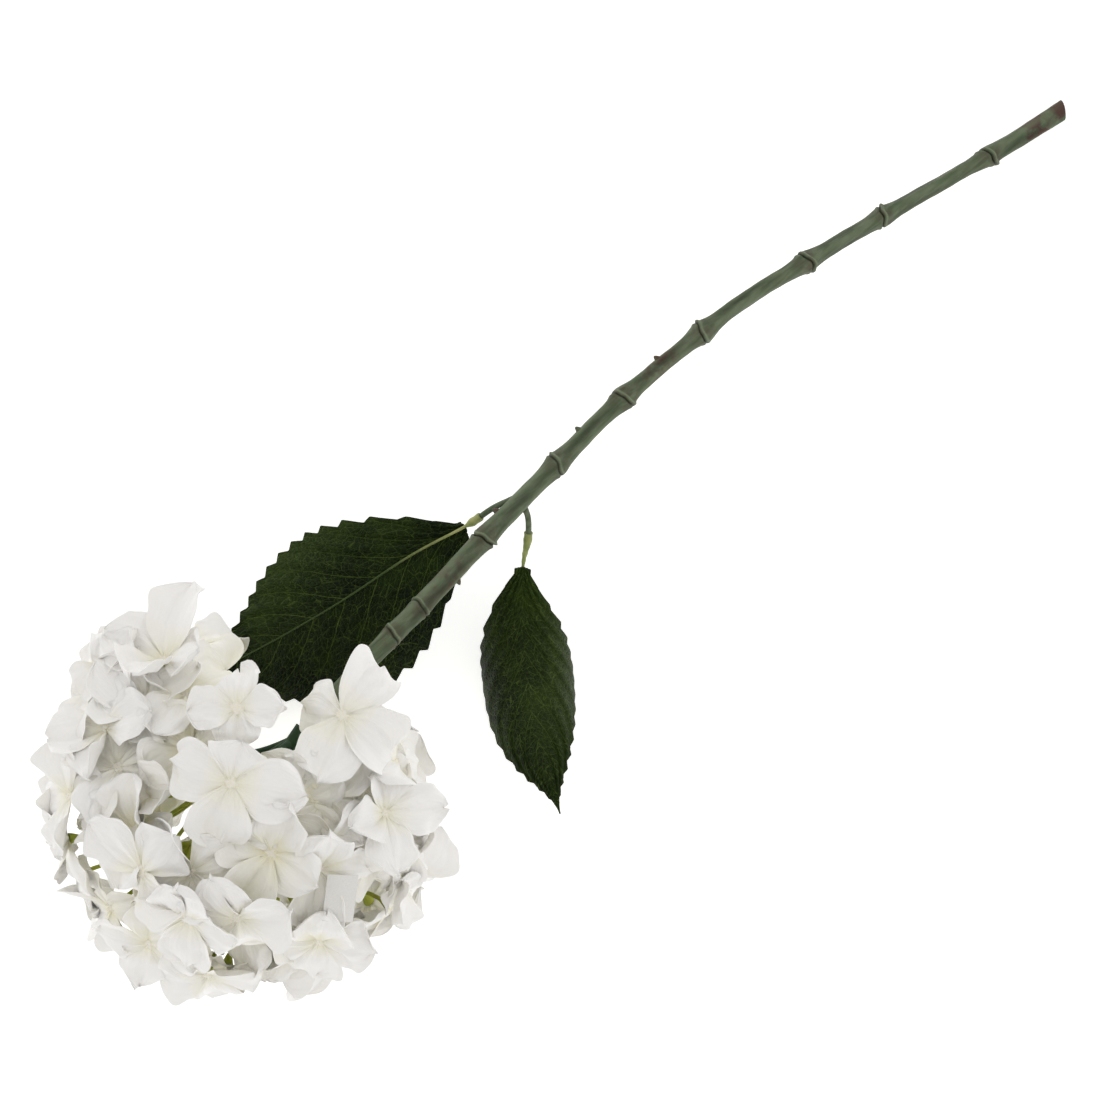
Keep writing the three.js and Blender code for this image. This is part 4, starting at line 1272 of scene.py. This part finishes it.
def leaf_finish(name, vein_strength, vein_width, net_strength, net_scale, light_from, light_to):
    finish = Finish(name, 0.5, 0.09)
    patches = finish.noise(finish.place(), 45.0, 4.0)
    # Painted light: one half of the blade is drawn paler, where it slopes towards the light
    painted_light = finish.math("MULTIPLY", finish.steps(finish.kept("aside"), light_from, light_to), MOST_PAINTED_LIGHT)
    green = finish.mix(finish.math("ADD", finish.steps(patches, 0.4, 0.8), painted_light), LEAF_DARK, LEAF_MID)
    wander = finish.math("MULTIPLY", finish.math("SUBTRACT", finish.noise(finish.place(), 160.0), 0.5), 0.5)
    row = finish.math("ADD", finish.kept("vein_row"), wander)
    from_vein = finish.math("PINGPONG", row, ROWS_PER_VEIN / 2)
    near_rib = finish.steps(finish.kept("from_rib"), *VEIN_FADING)
    fading = finish.math("MULTIPLY", near_rib, VEIN_AT_RIB * vein_strength)
    vein = finish.steps(from_vein, vein_width, VEIN_CORE)
    veins = finish.math("MULTIPLY", vein, finish.math("ADD", fading, VEIN_AT_MARGIN))
    lengthways = finish.math("MULTIPLY", finish.kept("net_row"), NET_STRETCH)
    grain = finish.node("ShaderNodeCombineXYZ", X=lengthways, Y=finish.kept("aside")).outputs["Vector"]
    coarse = finish.cells(grain, COARSE_NET * net_scale)
    fine = finish.cells(grain, FINE_NET * net_scale)
    net = finish.math("MULTIPLY", finish.steps(coarse, COARSE_WIDTH, 0.0), COARSE_STRENGTH * net_strength)
    threads = finish.math("MULTIPLY", finish.steps(fine, FINE_WIDTH, 0.0), FINE_STRENGTH * net_strength)
    lines = finish.math("MAXIMUM", finish.math("MAXIMUM", veins, net), threads)
    finish.color(finish.mix(lines, green, LEAF_VEIN))
    finish.bump(finish.math("ADD", finish.math("MINIMUM", fine, 0.25), coarse), 0.0016, 0.9)
    return finish.material


# %% Build the leaf blades
for size, leaf in LEAVES.items():
    material = leaf_finish(f"{size}_leaf_cloth", *LEAF_LOOKS[size])
    grid, lines = blade_grid(leaf)
    values = {key: np.tile(numbers.reshape(-1), 2) for key, numbers in lines.items()}
    blade = thick_sheet(grid, LEAF_THICKNESS)
    add_piece(f"leaf_cloth_{size}", blade, material, [f"leaf_blade_{size}"], values)


# %% [markdown]
# The rib and its sleeve are one yellow-green moulding. The sleeve is lumpy, because it is pushed on hot,
# and the rib thins and turns dark green towards the leaf's tip, where it sinks into the cloth.

# %% Leaf ribs
LUMPS = 0.1
LUMP_PACE = 1.7
NECK = 1.5
RIB_TONES = ((0.20, 0.25, 0.07), (0.44, 0.45, 0.18))
RIB_DARK = (0.045, 0.075, 0.016)
DARK_FROM = 3
DARK_FADE = 38


def rib_mesh(leaf):
    start = leaf["start"]
    length = leaf["length"]
    sleeve = leaf["stalk"] - SOCKET_DEPTH
    distances = np.linspace(sleeve, start + RIB_END * (length - start), 160)
    along = np.clip((distances - start) / (length - start), 0, 1)
    stops = [sleeve, leaf["stalk"], leaf["stalk"] + NECK, start]
    wide = SLEEVE_RADIUS * 0.92
    sleeve_radius = np.interp(distances, stops, [wide, wide, wide * 0.8, RIB_ROOT * VISIBLE_RIB])
    lumpy = sleeve_radius + LUMPS * np.sin(distances * LUMP_PACE)
    radii = np.where(distances < start, lumpy, VISIBLE_RIB * rib_radius(along))
    return rod_mesh(leaf["curve"], distances, radii, 12)


rib_material = mottled("rib_plastic", 0.5, RIB_TONES, (180.0, 3.0), (700.0, 3.0), 0.0002, sunk=RIB_DARK)
for size, leaf in LEAVES.items():
    rib = rib_mesh(leaf)
    root = curve_at(leaf["curve"], leaf["start"])
    from_root = np.linalg.norm(rib[0] - root, axis=1)
    buried = {"buried": np.clip((from_root - DARK_FROM) / DARK_FADE, 0, 1)}
    add_piece(f"rib_{size}", rib, rib_material, [f"leaf_rib_{size}"], buried)

# %% [markdown]
# ## The tag
# A small square of thin white card is tucked among the petals at the lower right. It is bare. Card bends
# evenly, so it is a thin sheet with a slight curl.

# %% Tag
TAG_SIZE = (13.0, 20.0, 0.45)
TAG_AT = np.array([-158.0, -54.0, 132.0])
TAG_FACING = direction(-75, 70)
TAG_TURN = math.radians(-46)
TAG_CURL = 0.5
TAG_TONES = ((0.78, 0.77, 0.74), (0.83, 0.82, 0.80))


def tag_grid():
    u = np.linspace(-0.5, 0.5, 15)[:, None] + np.zeros((1, 21))
    v = np.linspace(-0.5, 0.5, 21)[None, :] + np.zeros((15, 1))
    curl = TAG_CURL * (0.25 - u**2 * 4)
    flat = np.stack([u * TAG_SIZE[0], v * TAG_SIZE[1], curl], axis=-1)
    face = np.array(Vector((0, 0, 1)).rotation_difference(Vector(TAG_FACING)).to_matrix())
    return flat @ flat_turn(TAG_TURN) @ face.T + TAG_AT


tag_material = mottled("tag_card", 0.7, TAG_TONES, (1500.0, 4.0), (1500.0, 4.0), 0.00005)
add_piece("bare_tag", thick_sheet(tag_grid(), TAG_SIZE[2]), tag_material, ["tag"])
